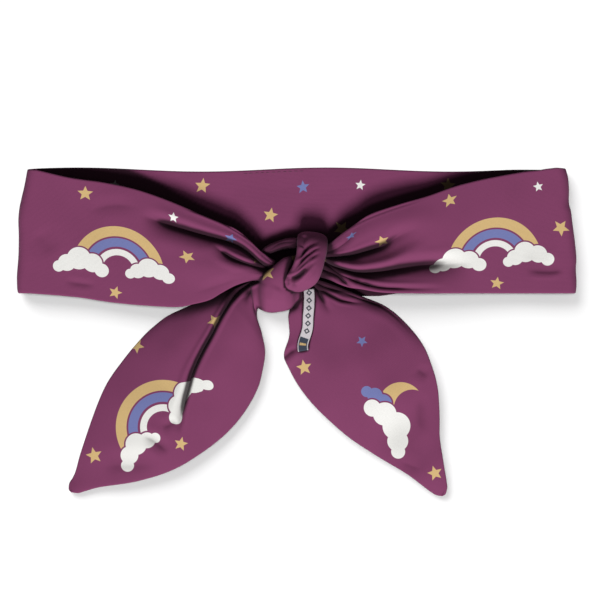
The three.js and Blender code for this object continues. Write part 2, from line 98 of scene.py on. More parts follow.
def curve_through(points, steps=900):
    """A function from shares, 0 to 1, to points evenly spaced along a smooth curve."""
    p = np.array(points, float)
    knots = np.r_[0, np.cumsum(np.linalg.norm(np.diff(p, axis=0), axis=1) ** 0.5)]
    gap = np.diff(knots)[:, None]
    slope = np.diff(p, axis=0) / gap
    inner = (slope[:-1] * gap[1:] + slope[1:] * gap[:-1]) / (gap[:-1] + gap[1:])
    tangent = np.vstack([slope[:1], inner, slope[-1:]])
    at = np.linspace(0, knots[-1], steps)
    i = np.clip(np.searchsorted(knots, at, side="right") - 1, 0, len(gap) - 1)
    g = gap[i]
    t = ((at - knots[i]) / g[:, 0])[:, None]
    line = bridge(p[i], p[i + 1], g * tangent[i], g * tangent[i + 1], t)
    length = np.r_[0, np.cumsum(np.linalg.norm(np.diff(line, axis=0), axis=1))]

    def walk(share):
        s = np.asarray(share, float) * length[-1]
        return np.stack([np.interp(s, length, line[:, k]) for k in range(p.shape[1])], -1)

    walk.length = length[-1]
    return walk


def smooth(value, low, high):
    """0 below low, 1 above high, and a soft step between."""
    t = np.clip((np.asarray(value, float) - low) / (high - low), 0, 1)
    return t * t * (3 - 2 * t)


def unit(vectors):
    """The same directions, each with a length of one."""
    return vectors / (np.linalg.norm(vectors, axis=-1, keepdims=True) + 1e-12)


def knot_place(right, up):
    """A place in plan, from shares of the knot's width and length."""
    return np.array([KNOT_X + right * KNOT_WIDTH, -KNOT_DROP + up * KNOT_LENGTH])


# %% [markdown]
# ## Folds
#
# A fold in cloth is a line that the surface dips along, sharp at the bottom, with the cloth
# standing a little proud beside it. Each fold is a short path over its piece, with a depth and a
# width, and it paints shade into the cloth's colour along its bottom. A steepness above 1 narrows
# the side to the right of the path, and one below 1 widens it.
# Width and steepness may be pairs, for the path's start and its end, and a depth below zero makes a
# soft ridge. A cloth simulation could find folds like these, but not the ones that this knot has, so
# they are listed, and the height of the surface is worked out from the distance to each path.


# %% The height and the painted shade that folds give a surface
PATH_STEPS = 60
FADES = (0.35, 0.35)
DIP_FALL, DIP_SOFT = 1.7, 0.25
SWELL, SWELL_AT, SWELL_WIDTH = 0.25, 1.7, 0.8
SHADE, SHADE_WIDTH = 0.6, 0.7


def fold_field(plan, points, folds):
    """Height in mm and painted shade, 0 to 1, at plan points from a table of folds."""
    flat = points.reshape(-1, 2)
    height = np.zeros(len(flat))
    shade = np.zeros(len(flat))
    for row in folds:
        path = curve_through([plan(*share) for share in row["path"]])(np.linspace(0, 1, PATH_STEPS))
        step = np.diff(path, axis=0)
        size = (step**2).sum(1)
        best = np.full(len(flat), 1e9)
        side = np.zeros(len(flat))
        share = np.zeros(len(flat))
        for k in range(len(step)):
            rel = flat - path[k]
            t = np.clip(rel @ step[k] / size[k], 0, 1)
            away = rel - t[:, None] * step[k]
            distance = np.hypot(away[:, 0], away[:, 1])
            nearer = distance < best
            best = np.where(nearer, distance, best)
            turn = step[k, 0] * rel[:, 1] - step[k, 1] * rel[:, 0]
            side = np.where(nearer, np.sign(turn), side)
            share = np.where(nearer, (k + t) / len(step), share)
        first, last = np.broadcast_to(row["wide"], 2)
        wide = first + (last - first) * share
        first, last = np.broadcast_to(row.get("steep", 1.0), 2)
        wide = np.where(side > 0, wide, wide / (first + (last - first) * share))
        r = best / wide
        fade_in, fade_out = row.get("fade", FADES)
        strength = smooth(share, 0, max(fade_in, 1e-3)) if fade_in else 1.0
        if fade_out:
            strength = strength * (1 - smooth(share, 1 - fade_out, 1))
        if row["deep"] > 0:
            soft = row.get("soft", DIP_SOFT)
            dip = np.exp(-DIP_FALL * (np.sqrt(r**2 + soft**2) - soft))
            swell = row.get("swell", SWELL) * np.exp(-(((r - SWELL_AT) / SWELL_WIDTH) ** 2))
            height += row["deep"] * strength * (swell - dip)
            dark = row.get("shade", SHADE) * strength * np.exp(-((r / SHADE_WIDTH) ** 2))
            shade = np.maximum(shade, dark)
        else:
            height -= row["deep"] * strength * np.exp(-(r**2))
    return height.reshape(points.shape[:-1]), shade.reshape(points.shape[:-1])


def softness(x, y, seed, size, amount):
    """A slow random unevenness, as no cloth lies quite flat."""
    rng = np.random.default_rng(seed)
    total = np.zeros_like(x)
    for _ in range(7):
        angle, phase = rng.uniform(0, 2 * math.pi, 2)
        pace = 2 * math.pi / (size * rng.uniform(0.7, 1.8))
        total += np.sin(pace * (x * math.cos(angle) + y * math.sin(angle)) + phase)
    return amount * total / 3


# %% [markdown]
# ## From a surface to cloth
#
# The jersey is a tube pressed flat, so it has two layers and soft round edges. Each surface here is
# the middle of the cloth. The mesh goes half a thickness to each side of it, and thins out in a
# round at the edges, where the two faces share their points. That closes the mesh. The directions
# across the cloth are blurred a little, so that the faces don't cross at the bottom of a fold.


# %% A cloth mesh from a grid
GRIDS = {}
EDGE_PLACES = np.array([0.0, 0.07, 0.22, 0.45, 0.75, 1.15])
EDGE_ROUND = 0.55
NORMAL_BLUR = 4


def across_shares(width, count):
    """Shares across rows of the given widths, close together at both edges."""
    edge = EDGE_PLACES[None, :] / width[:, None]
    middle = np.linspace(0, 1, count)[None, 1:-1]
    inner = edge[:, -1:] + (1 - 2 * edge[:, -1:]) * middle
    return np.hstack([edge, inner, 1 - edge[:, ::-1]])


def round_edge(distance, thick=CLOTH):
    """Half the thickness at a distance from the edge."""
    t = np.clip(distance / (EDGE_ROUND * thick), 0, 1)
    return thick / 2 * np.sqrt(np.clip(1 - (1 - t) ** 2, 0, 1))


def blurred(values, times):
    """Each value mixed with its neighbours along both ways of the grid."""
    for _ in range(times):
        for axis in (0, 1):
            ends = [values.take([0], axis), values, values.take([-1], axis)]
            padded = np.concatenate(ends, axis)
            count = values.shape[axis]
            before = padded.take(range(count), axis)
            after = padded.take(range(2, count + 2), axis)
            values = (before + 2 * values + after) / 4
    return values


def make_piece(name, places, faces, corner_uv, shade, grids):
    """A smooth object from points in mm, with its UV map and the painted shade of its creases."""
    mesh = bpy.data.meshes.new(name)
    mesh.from_pydata((places * MM).tolist(), [], faces)
    layer = mesh.uv_layers.new(name="cloth")
    layer.data.foreach_set("uv", corner_uv.ravel().astype(np.float32))
    # The painted shade of the creases, which the jersey material darkens its colour by.
    attribute = mesh.attributes.new("painted_crease_shade", "FLOAT", "POINT")
    attribute.data.foreach_set("value", shade.astype(np.float32))
    mesh.polygons.foreach_set("use_smooth", np.ones(len(faces), bool))
    mesh.update()
    piece = bpy.data.objects.new(name, mesh)
    bpy.context.scene.collection.objects.link(piece)
    GRIDS[name] = grids
    print(name, "has", sum(len(face) - 2 for face in faces), "triangles")
    return piece


def cloth_mesh(name, middle, half, uv, shade):
    """A closed mesh round a grid of middle points, in mm, with a UV map and a painted shade."""
    rows, columns = middle.shape[:2]
    normal = np.cross(np.gradient(middle, axis=0), np.gradient(middle, axis=1))
    normal = unit(blurred(unit(normal), NORMAL_BLUR))
    half = half.copy()
    half[0], half[-1], half[:, 0], half[:, -1] = 0, 0, 0, 0
    front = middle + normal * half[..., None]
    back = middle - normal * half[..., None]
    index = np.arange(rows * columns).reshape(rows, columns)
    under = index.copy()
    inside = (slice(1, -1), slice(1, -1))
    under[inside] = rows * columns + np.arange((rows - 2) * (columns - 2)).reshape(
        rows - 2, columns - 2
    )

    def quads(grid):
        corners = (grid[:-1, :-1], grid[1:, :-1], grid[1:, 1:], grid[:-1, 1:])
        return np.stack([c.ravel() for c in corners], 1)

    faces = np.vstack([quads(index), quads(under)[:, ::-1]])
    places = np.vstack([front.reshape(-1, 3), back[inside].reshape(-1, 3)])
    point_uv = np.vstack([uv.reshape(-1, 2), uv[inside].reshape(-1, 2)])
    point_shade = np.r_[shade.ravel(), shade[inside].ravel()]
    corner_uv = point_uv[faces.ravel()]
    return make_piece(name, places, faces.tolist(), corner_uv, point_shade, [index, under])


# %% [markdown]
# ## The band
#
# The front layer starts straight at each fold and narrows to the knot. Its two edges are tables of
# points, first the share of the way from the fold into the knot, then the share of half the band's
# width above its middle.

# %% The band's edges
EDGES = {
    ("left", "top"): [
        (0.0, 0.985), (0.14, 0.863), (0.28, 0.788), (0.41, 0.683), (0.51, 0.56), (0.61, 0.41),
        (0.7, 0.255), (0.785, 0.125), (0.83, 0.06), (0.88, -0.085), (0.94, -0.305), (1.0, -0.45),
    ],
    ("left", "bottom"): [
        (0.0, -0.955), (0.21, -1.02), (0.34, -1.095), (0.49, -1.15), (0.635, -1.17),
        (0.69, -1.13), (0.76, -1.06), (0.81, -0.95), (0.87, -0.83), (0.935, -0.76), (1.0, -0.765),
    ],
    ("right", "top"): [
        (0.0, 1.02), (0.045, 1.0), (0.075, 0.98), (0.125, 0.96), (0.23, 0.894), (0.33, 0.817),
        (0.425, 0.723), (0.54, 0.57), (0.655, 0.444), (0.785, 0.272), (0.84, 0.132),
        (0.89, -0.008), (0.965, -0.225), (1.0, -0.29),
    ],
    ("right", "bottom"): [
        (0.0, -0.958), (0.39, -0.958), (0.625, -0.958), (0.74, -0.94), (0.82, -0.885),
        (0.852, -0.872), (0.893, -0.82), (0.932, -0.75), (0.975, -0.7), (1.0, -0.68),
    ],
}
ENTRY = {
    ("left", "top"): (-0.35, 0.11),
    ("left", "bottom"): (-0.465, -0.135),
    ("right", "top"): (0.245, 0.235),
    ("right", "bottom"): (0.19, 0.01),
}

# %% [markdown]
# Seen from above, the two ends of the loop aren't straight lines. The cloth stands a little back
# from its full span in soft ripples, and more so at the upper corners. Each end is a table of places
# up the band's width, as shares, with how far the bend stands back there, in millimetres.

# %% The band's two ends
END_EDGES = {
    "left": [
        (0.0, 0.6), (0.05, 0.1), (0.12, 0.0), (0.33, 0.75), (0.46, 0.85), (0.58, 0.65),
        (0.66, 0.95), (0.76, 2.0), (0.86, 3.3), (1.0, 4.75),
    ],
    "right": [
        (0.0, 0.65), (0.08, 0.25), (0.2, 0.55), (0.27, 0.3), (0.43, 1.1), (0.55, 2.0),
        (0.65, 2.65), (0.75, 3.7), (0.82, 3.6), (0.9, 3.85), (1.0, 5.1),
    ],
}


def fold_reach(side, across):
    """How far from the middle the bend at the band's end reaches."""
    line = curve_through(END_EDGES[side])(np.linspace(0, 1, 200))
    return HALF_SPAN - CLOTH / 2 - np.interp(across, line[:, 0], line[:, 1])


def panel_edge(side, edge):
    """One edge of a front panel, from the bend into the knot."""
    sign = -1 if side == "left" else 1
    start = sign * (fold_reach(side, 1.0 if edge == "top" else 0.0) - FOLD_RADIUS)
    end = knot_place(*ENTRY[side, edge])[0]
    return curve_through([
        (start + (end - start) * along, across * BAND_WIDTH / 2)
        for along, across in EDGES[side, edge]
    ])


def panel_plan(side):
    """A front panel in plan, from shares along it and across it."""
    upper, lower = panel_edge(side, "top"), panel_edge(side, "bottom")

    def plan(along, across):
        across = np.asarray(across, float)[..., None]
        return lower(along) * (1 - across) + upper(along) * across

    plan.width = lambda along: np.linalg.norm(upper(along) - lower(along), axis=-1)
    plan.length = (upper.length + lower.length) / 2
    return plan


# %% [markdown]
# The folds fan out from the knot. path gives each one's way over the panel, as shares along it and
# across it. Depth and width are in millimetres. The fades are the shares of its way over which a
# fold comes in and goes out, and the shade is how dark its bottom is painted. A few hardly dip and
# mostly paint a soft patch of shade.

# %% The band's folds
PANEL_FOLDS = {
    "left": [
        {"path": [(0.41, 0.795), (0.52, 0.787), (0.65, 0.797), (0.77, 0.79), (0.83, 0.777),
                  (0.876, 0.757), (0.918, 0.715), (0.953, 0.65), (1.0, 0.585)],
         "deep": 5.0, "wide": (2.8, 0.8), "steep": (0.5, 0.45), "swell": 0.1, "fade": (0.24, 0),
         "shade": 0.95},
        {"path": [(0.715, 0.71), (0.76, 0.647), (0.804, 0.57), (0.855, 0.522), (0.904, 0.5),
                  (0.951, 0.477), (1.0, 0.46)],
         "deep": 3.4, "wide": (1.2, 0.8), "steep": 0.5, "swell": 0.2, "fade": (0.35, 0),
         "shade": 0.95},
        {"path": [(0.66, 0.7), (0.74, 0.69), (0.83, 0.65), (0.89, 0.61), (0.95, 0.56)],
         "deep": -0.8, "wide": 2.6, "fade": (0.4, 0.2)},
        {"path": [(0.78, 0.3), (0.9, 0.3), (1.0, 0.28)],
         "deep": 0.5, "wide": 2.4, "fade": (0.7, 0), "shade": 0.15},
        {"path": [(0.5, 0.45), (0.7, 0.42), (0.9, 0.4), (1.0, 0.36)],
         "deep": -1.6, "wide": 7.0, "fade": (0.6, 0)},
        {"path": [(0.66, 0.12), (0.8, 0.16), (0.92, 0.2)],
         "deep": 0.4, "wide": 2.2, "fade": (0.4, 0.4), "shade": 0.12},
        {"path": [(0.2, 0.72), (0.3, 0.82), (0.42, 0.86)],
         "deep": 0.5, "wide": 3.0, "fade": (0.4, 0.4), "shade": 0.15},
        {"path": [(0.14, 0.13), (0.2, 0.12), (0.28, 0.125)],
         "deep": 0.5, "wide": 1.6, "fade": (0.4, 0.4), "shade": 0.2},
        {"path": [(0.02, 0.52), (0.06, 0.43), (0.1, 0.34)],
         "deep": 0.5, "wide": 6.5, "fade": (0.3, 0.4), "shade": 0.12},
    ],
    "right": [
        {"path": [(0.53, 0.71), (0.58, 0.69), (0.655, 0.64), (0.7, 0.575), (0.74, 0.555),
                  (0.795, 0.54), (0.84, 0.542), (0.87, 0.55), (0.914, 0.57), (0.96, 0.65),
                  (1.0, 0.72)],
         "deep": 5.0, "wide": (6.0, 0.8), "steep": 1.9, "swell": 0.1, "fade": (0.62, 0),
         "shade": 0.95},
        {"path": [(0.9, 0.54), (0.865, 0.515), (0.83, 0.48), (0.79, 0.46)],
         "deep": 0.4, "wide": 3.0, "fade": (0.2, 0.5), "shade": 1.1},
        {"path": [(0.5, 0.55), (0.62, 0.44), (0.683, 0.37), (0.743, 0.335), (0.801, 0.32),
                  (0.847, 0.372), (0.913, 0.47), (0.959, 0.605), (1.0, 0.68)],
         "deep": -1.9, "wide": (3.2, 1.2), "fade": (0.35, 0)},
        {"path": [(0.34, 0.27), (0.44, 0.285), (0.548, 0.305), (0.646, 0.288), (0.717, 0.268),
                  (0.773, 0.255), (0.826, 0.267), (0.877, 0.325), (0.922, 0.392), (0.966, 0.567),
                  (1.0, 0.64)],
         "deep": 5.2, "wide": (8.0, 0.9), "steep": 2.0, "swell": 0.1, "fade": (0.3, 0),
         "shade": 0.9},
        {"path": [(0.45, 0.05), (0.6, 0.055), (0.69, 0.06), (0.748, 0.068), (0.8, 0.088),
                  (0.84, 0.135), (0.881, 0.2), (0.926, 0.292), (0.966, 0.445), (1.0, 0.52)],
         "deep": 1.5, "wide": (1.3, 0.9), "swell": 0.4, "fade": (0.5, 0), "shade": 0.75},
        {"path": [(0.835, 0.0), (0.868, 0.08), (0.898, 0.15), (0.934, 0.207), (0.964, 0.282),
                  (1.0, 0.34)],
         "deep": 2.2, "wide": (1.3, 0.9), "swell": 0.3, "fade": (0.3, 0), "shade": 0.95},
        {"path": [(0.81, 0.95), (0.85, 0.82), (0.9, 0.76), (0.97, 0.78)],
         "deep": 0.7, "wide": 1.4, "fade": (0.4, 0.3), "shade": 0.25},
        {"path": [(0.4, 0.68), (0.6, 0.8), (0.8, 0.78), (1.0, 0.78)],
         "deep": -1.2, "wide": 5.0, "fade": (0.5, 0)},
        {"path": [(0.0, 0.19), (0.05, 0.175), (0.1, 0.18), (0.16, 0.2)],
         "deep": 0.8, "wide": (1.2, 1.6), "steep": 0.3, "fade": (0.25, 0.4), "shade": 0.3},
        {"path": [(0.03, 0.3), (0.1, 0.31), (0.17, 0.34)],
         "deep": 0.3, "wide": 6.0, "fade": (0.3, 0.4), "shade": 0.12},
    ],
}
SEAM_FOLDS = {
    "left": [{"path": [(0.55, 0.985), (0.8, 0.975), (1.0, 0.93)],
              "deep": 0.4, "wide": 0.4, "swell": 0.6, "fade": (0.3, 0), "shade": 0.5}],
    "right": [{"path": [(0.5, 0.985), (0.8, 0.975), (1.0, 0.93)],
               "deep": 0.2, "wide": 0.5, "swell": 0.6, "fade": (0.3, 0), "shade": 0.2}],
}

# %% [markdown]
# The band's surface is made in rows that run across the cloth. A front panel climbs towards the knot
# and arches a little between its edges. Its rows lie closer together near the knot, where the folds
# are. The back lies flat. Its upper edge waves and drops a little at the right, and its lower edge
# is tucked in at both ends, so that it hides under the front.

# %% The band's rows
PANEL_ROWS, BEND_ROWS, BACK_ROWS, BAND_COLUMNS = 186, 12, 120, 86
KNOTWARD = 1.5
RIPPLE_FADE = 0.12
GATHER_RISE, RISE_SPAN = 3.2, (0.15, 0.8)
GATHER_SINK, SINK_SPAN = 1.25, (0.86, 1)
CROWN, CROWN_SPAN = 1.2, (0.1, 0.8)
CROWN_SINK, CROWN_SINK_SPAN = 0.5, (0.85, 1)
UNEVEN_SPAN = (0.02, 0.2)
EDGE_WAVE, WAVE_PITCH, WAVE_START = 0.9, 111.0, 13.0
BACK_DROP, DROP_SPAN = 0.9, (92, 116)
BACK_TUCK, TUCK_RIGHT, TUCK_LEFT = 1.2, (36, 46), (60, 110)


def panel_rows(side, seed):
    """The middle points, shares across and shade of one front panel, from fold to knot."""
    plan = panel_plan(side)
    along = 1 - (1 - np.linspace(0, 1, PANEL_ROWS)) ** KNOTWARD
    width = plan.width(along)
    across = across_shares(width, BAND_COLUMNS)
    flat = plan(along[:, None], across)
    corners = fold_reach(side, np.array([0.0, 1.0]))
    ripple = fold_reach(side, across) - corners[0] - (corners[1] - corners[0]) * across
    sign = -1 if side == "left" else 1
    flat[..., 0] += sign * ripple * (1 - smooth(along, 0, RIPPLE_FADE))[:, None]
    climb = GATHER_RISE * (smooth(along, *RISE_SPAN) - GATHER_SINK * smooth(along, *SINK_SPAN))
    arch = CROWN * smooth(along, *CROWN_SPAN) * (1 - CROWN_SINK * smooth(along, *CROWN_SINK_SPAN))
    folds, shade = fold_field(plan, flat, PANEL_FOLDS[side] + SEAM_FOLDS[side])
    height = FRONT_LEVEL + climb[:, None] + arch[:, None] * (1 - (2 * across - 1) ** 2) + folds
    uneven = softness(flat[..., 0], flat[..., 1], seed, 34, 0.35)
    height += uneven * smooth(along, *UNEVEN_SPAN)[:, None]
    return np.dstack([flat, height]), across, shade


def back_edge(x):
    """The back's upper edge, which waves and drops a little before the right bend."""
    wave = EDGE_WAVE * np.cos((x - WAVE_START) * 2 * math.pi / WAVE_PITCH)
    return BAND_WIDTH / 2 + wave - BACK_DROP * smooth(x, *DROP_SPAN)


def back_plan(x, across):
    """How far up the picture a place on the back lies."""
    lower = BACK_TUCK * (smooth(x, *TUCK_RIGHT) + smooth(-x, *TUCK_LEFT)) - BAND_WIDTH / 2
    return lower + (back_edge(x) - lower) * across


def back_rows(across):
    """The back layer, flat on the table, from the left bend to the right one."""
    left_x, right_x = (fold_reach(side, across) - FOLD_RADIUS for side in ("left", "right"))
    t = np.linspace(0, 1, BACK_ROWS)[:, None]
    x = -left_x + (left_x + right_x) * t
    y = back_plan(x, across)
    lift = np.abs(softness(x, y, 5, 40, 0.3)) * np.sin(math.pi * t)
    return np.dstack([x, y, BACK_LEVEL + lift])


# %% [markdown]
# Beside the gathered edges of the front layer, the back lies in a deep narrow wedge that hardly any
# light reaches. The rays cast further down find part of that. The rest is painted shade that follows
# the front's edges: a strip where the cloth's colour is painted nearly black, given by its width at
# some distances from the middle, with a soft ramp beside it. The slit under the right panel's lower
# edge gets painted shade in the same way. The shade is above 1 because the jersey takes only a part
# of it, and has to reach its darkest here.

# %% The painted shade in the wedges
SHUT_SHADE = 1.29
WEDGE_RAMP, WEDGE_START = 2.4, (9, 14)
SLIT_RAMP, SLIT_START, SLIT_END = (-0.4, 0.2), (12, 16), (40, 45)
WEDGES = {
    "left": [(20, 3.2), (40, 3.6), (52, 4.2), (65, 6.0), (80, 8.0)],
    "right": [(17, 6.0), (28, 3.4), (120, 3.2)],
}


def wedge_shade(rows):
    """The painted shade on the back, by how far it is shut in beside the front layer's edges."""
    x, y = rows[..., 0], rows[..., 1]
    shade = np.zeros_like(x)
    for side, sign in (("left", -1), ("right", 1)):
        line = panel_edge(side, "top")(np.linspace(0, 1, 400))[::-sign]
        above = y - np.interp(x, line[:, 0], line[:, 1])
        core = np.interp(sign * x, *zip(*WEDGES[side]))
        near = (1 - smooth(above, core, core + WEDGE_RAMP)) * smooth(sign * x, *WEDGE_START)
        shade = np.maximum(shade, near)
    line = panel_edge("right", "bottom")(np.linspace(0, 1, 400))[::-1]
    below = np.interp(x, line[:, 0], line[:, 1]) - y
    slit = smooth(below, *SLIT_RAMP) * smooth(x, *SLIT_START) * (1 - smooth(x, *SLIT_END))
    return SHUT_SHADE * np.maximum(shade, slit)


# %% [markdown]
# Each end of the loop is a soft bend, half a circle from the front layer down to the back.


# %% The bends
def bend_rows(side, front, across):
    """The bend at one end of the loop, from the front layer down to the back."""
    sign = -1 if side == "left" else 1
    x0 = sign * (fold_reach(side, across) - FOLD_RADIUS)
    back_y = back_plan(x0, across)
    rows = []
    for i in range(1, BEND_ROWS):
        turn = math.pi * i / BEND_ROWS
        x = x0 + sign * FOLD_RADIUS * math.sin(turn)
        y = front[:, 1] + (back_y - front[:, 1]) * i / BEND_ROWS
        z = BACK_LEVEL + FOLD_RADIUS * (1 + math.cos(turn)) + np.zeros_like(x)
        rows.append(np.stack([x, y, z], 1))
    return np.array(rows)


# %% [markdown]
# All five stretches are joined into one long strip of rows, in the order of the real strip, so
# that the print and the knit run on round both bends. One unit of the UV map is ten centimetres of
# cloth: the way along the strip, and the share across times the full width, which squeezes the
# print into the gathers as the real ones do.

# %% Make the band
UV_UNIT = 100.0
left, left_across, left_shade = panel_rows("left", 11)
right, right_across, right_shade = panel_rows("right", 12)
edge_across = left_across[0]
back = back_rows(edge_across)
strip = np.concatenate([
    left[::-1],
    bend_rows("left", left[0], edge_across),
    back,
    bend_rows("right", right[0], edge_across)[::-1],
    right,
])
plain = np.repeat(edge_across[None], len(strip) - len(left) - len(right), 0)
strip_across = np.concatenate([left_across[::-1], plain, right_across])
back_shade = np.pad(wedge_shade(back), ((BEND_ROWS - 1, BEND_ROWS - 1), (0, 0)))
strip_shade = np.concatenate([left_shade[::-1], back_shade, right_shade])
middle_line = strip[:, strip.shape[1] // 2]
strip_along = np.r_[0, np.cumsum(np.linalg.norm(np.diff(middle_line, axis=0), axis=1))]
BAND_PRINT = (-37.0, -2.0)
band_uv = np.dstack([
    strip_along[:, None] + BAND_PRINT[0] + 0 * strip_across,
    strip_across * BAND_WIDTH + BAND_PRINT[1],
]) / UV_UNIT
row_width = np.linalg.norm(strip[:, 0] - strip[:, -1], axis=1)
edge_distance = np.minimum(strip_across, 1 - strip_across) * row_width[:, None]
band = cloth_mesh("jersey_band", strip, round_edge(edge_distance), band_uv, strip_shade)

# %% [markdown]
# ## The tails
#
# Each tail is the end of the strip, cut to a leaf and turned. Its two edges are tables again: the
# share of its length from its root, then the share of its width out from its middle line.

# %% The tails' outlines
TAIL_WIDTH = 56.5
TAILS = {
    "left": {
        "root": (-0.62, -0.283), "length": 122.0, "angle": 226.6, "turn": -1, "dome": 4.6,
        "outer": [
            (-0.046, -0.025), (-0.04, 0.059), (0.042, 0.153), (0.128, 0.247), (0.216, 0.333),
            (0.29, 0.394), (0.355, 0.415), (0.42, 0.419), (0.51, 0.407), (0.63, 0.365),
            (0.867, 0.148), (0.939, 0.068), (0.987, 0.037), (0.997, 0.012),
        ],
        "inner": [
            (0.004, 0.105), (0.035, 0.095), (0.07, 0.13), (0.095, 0.23), (0.137, 0.362),
            (0.196, 0.454), (0.2525, 0.519), (0.352, 0.573), (0.447, 0.583), (0.553, 0.552),
            (0.678, 0.476), (0.8, 0.332), (0.918, 0.138), (0.987, 0.046), (0.997, 0.012),
        ],
        "folds": [
            {"path": [(0.0, 1.0), (0.039, 0.965), (0.077, 0.945), (0.114, 0.9), (0.155, 0.83),
                      (0.194, 0.765), (0.235, 0.705), (0.281, 0.648), (0.328, 0.6), (0.373, 0.557),
                      (0.417, 0.512), (0.459, 0.452), (0.5, 0.39), (0.544, 0.305), (0.592, 0.21)],
             "deep": 3.2, "wide": (1.0, 1.3), "steep": (1.25, 0.35), "swell": 0.25,
             "fade": (0.12, 0.25), "shade": 1.0, "soft": 0.2},
            {"path": [(0.08, 1.0), (0.13, 1.02), (0.2, 1.02), (0.3, 1.04), (0.42, 1.03), (0.53, 1.0)],
             "deep": 2.6, "wide": 4.2, "swell": 0.0, "fade": (0.1, 0.5), "shade": 0.5},
            {"path": [(0.12, 0.6), (0.28, 0.42), (0.42, 0.3)],
             "deep": -1.0, "wide": 7.0, "fade": (0.4, 0.5)},
            {"path": [(0.26, 0.82), (0.4, 0.74), (0.52, 0.62)],
             "deep": -0.8, "wide": 6.0, "fade": (0.4, 0.5)},
            {"path": [(0.67, 0.442), (0.652, 0.372), (0.643, 0.265), (0.637, 0.152)],
             "deep": 1.1, "wide": 2.6, "fade": (0.35, 0.4), "shade": 0.45},
            {"path": [(0.604, 0.375), (0.574, 0.352), (0.546, 0.335)],
             "deep": 0.7, "wide": 2.2, "fade": (0.4, 0.3), "shade": 0.4},
            {"path": [(0.853, 0.472), (0.8, 0.33), (0.735, 0.19), (0.684, 0.117)],
             "deep": 0.8, "wide": 5.0, "fade": (0.3, 0.4), "shade": 0.25},
            {"path": [(0.06, 0.85), (0.085, 0.72), (0.115, 0.6)],
             "deep": 0.9, "wide": 1.6, "fade": (0.3, 0.6), "shade": 0.4},
        ],
    },
    "right": {
        "root": (0.174, -0.22), "length": 110.0, "angle": 302.5, "turn": 1, "dome": 3.4,
        "outer": [
            (-0.022, 0.065), (0.006, 0.114), (0.078, 0.218), (0.141, 0.304), (0.225, 0.416),
            (0.333, 0.478), (0.434, 0.498), (0.518, 0.472), (0.609, 0.418), (0.704, 0.32),
            (0.79, 0.217), (0.88, 0.139), (0.984, 0.045), (0.997, 0.012),
        ],
        "inner": [
            (-0.009, 0.1), (0.0, 0.149), (0.033, 0.256), (0.115, 0.354), (0.17, 0.474),
            (0.218, 0.492), (0.3, 0.504), (0.394, 0.488), (0.495, 0.444), (0.595, 0.384),
            (0.707, 0.288), (0.844, 0.156), (0.98, 0.049), (0.997, 0.012),
        ],
        "folds": [
            {"path": [(0.03, 0.705), (0.078, 0.65), (0.126, 0.597), (0.177, 0.572)],
             "deep": 1.3, "wide": (0.8, 1.6), "steep": 0.6, "fade": (0.0, 0.6), "shade": 0.6},
            {"path": [(0.0, 0.8), (0.026, 0.817), (0.056, 0.847), (0.084, 0.89), (0.12, 0.95)],
             "deep": 1.0, "wide": 0.8, "fade": (0.0, 0.4), "shade": 0.7},
            {"path": [(0.0, 0.63), (0.035, 0.665), (0.073, 0.755), (0.107, 0.775), (0.14, 0.795),
                      (0.169, 0.85), (0.212, 0.917)],
             "deep": 1.0, "wide": 0.9, "fade": (0.0, 0.4), "shade": 0.6},
            {"path": [(0.15, 0.9), (0.22, 0.97), (0.3, 1.0), (0.4, 1.0), (0.5, 0.99)],
             "deep": 1.9, "wide": 2.6, "swell": 0.15, "fade": (0.3, 0.5), "shade": 0.4},
            {"path": [(0.08, 0.12), (0.05, 0.05), (0.028, -0.03)],
             "deep": 1.4, "wide": 1.8, "fade": (0.4, 0.0), "shade": 0.5},
            {"path": [(0.233, 0.172), (0.235, 0.087), (0.24, 0.0)],
             "deep": 1.1, "wide": 1.3, "fade": (0.5, 0.0), "shade": 0.45},
            {"path": [(0.25, 0.2), (0.262, 0.1), (0.27, 0.0)],
             "deep": -0.7, "wide": 1.8, "fade": (0.5, 0.0)},
            {"path": [(0.51, 0.86), (0.54, 0.9), (0.565, 0.95)],
             "deep": 0.6, "wide": 2.6, "fade": (0.4, 0.4), "shade": 0.3},
            {"path": [(0.6, 0.84), (0.673, 0.75), (0.751, 0.72)],
             "deep": 0.6, "wide": 3.2, "fade": (0.4, 0.4), "shade": 0.25},
            {"path": [(0.78, 0.14), (0.83, 0.24), (0.87, 0.39)],
             "deep": 0.5, "wide": 3.0, "fade": (0.4, 0.4), "shade": 0.2},
            {"path": [(0.3, 0.55), (0.5, 0.5), (0.7, 0.5)],
             "deep": -0.7, "wide": 9.0, "fade": (0.4, 0.4)},
            {"path": [(0.11, 0.92), (0.17, 0.948), (0.25, 0.966), (0.33, 0.972), (0.42, 0.975)],
             "deep": 0.5, "wide": 0.5, "fade": (0.25, 0.45), "shade": 0.8},
            {"path": [(0.15, 0.22), (0.27, 0.34), (0.4, 0.4)],
             "deep": 0.2, "wide": 13.0, "fade": (0.3, 0.4), "shade": 0.16},
            {"path": [(0.64, 0.3), (0.78, 0.42), (0.9, 0.55)],
             "deep": 0.2, "wide": 12.0, "fade": (0.35, 0.3), "shade": 0.2},
        ],
    },
}


# %% A tail in plan
def tail_plan(tail):
    """A tail in plan, from shares along it and across it."""
    start = knot_place(*tail["root"])
    heading = math.radians(tail["angle"])
    ahead = np.array([math.cos(heading), math.sin(heading)])
    outward = tail["turn"] * np.array([-ahead[1], ahead[0]])

    def edge(rows, sign):
        return curve_through([
            start + ahead * a * tail["length"] + outward * sign * out * TAIL_WIDTH
            for a, out in rows
        ])

    outer, inner = edge(tail["outer"], 1), edge(tail["inner"], -1)

    def plan(along, across):
        across = np.asarray(across, float)[..., None]
        return inner(along) * (1 - across) + outer(along) * across

    plan.outer, plan.inner = outer, inner
    plan.frame = (start, ahead, outward)
    return plan


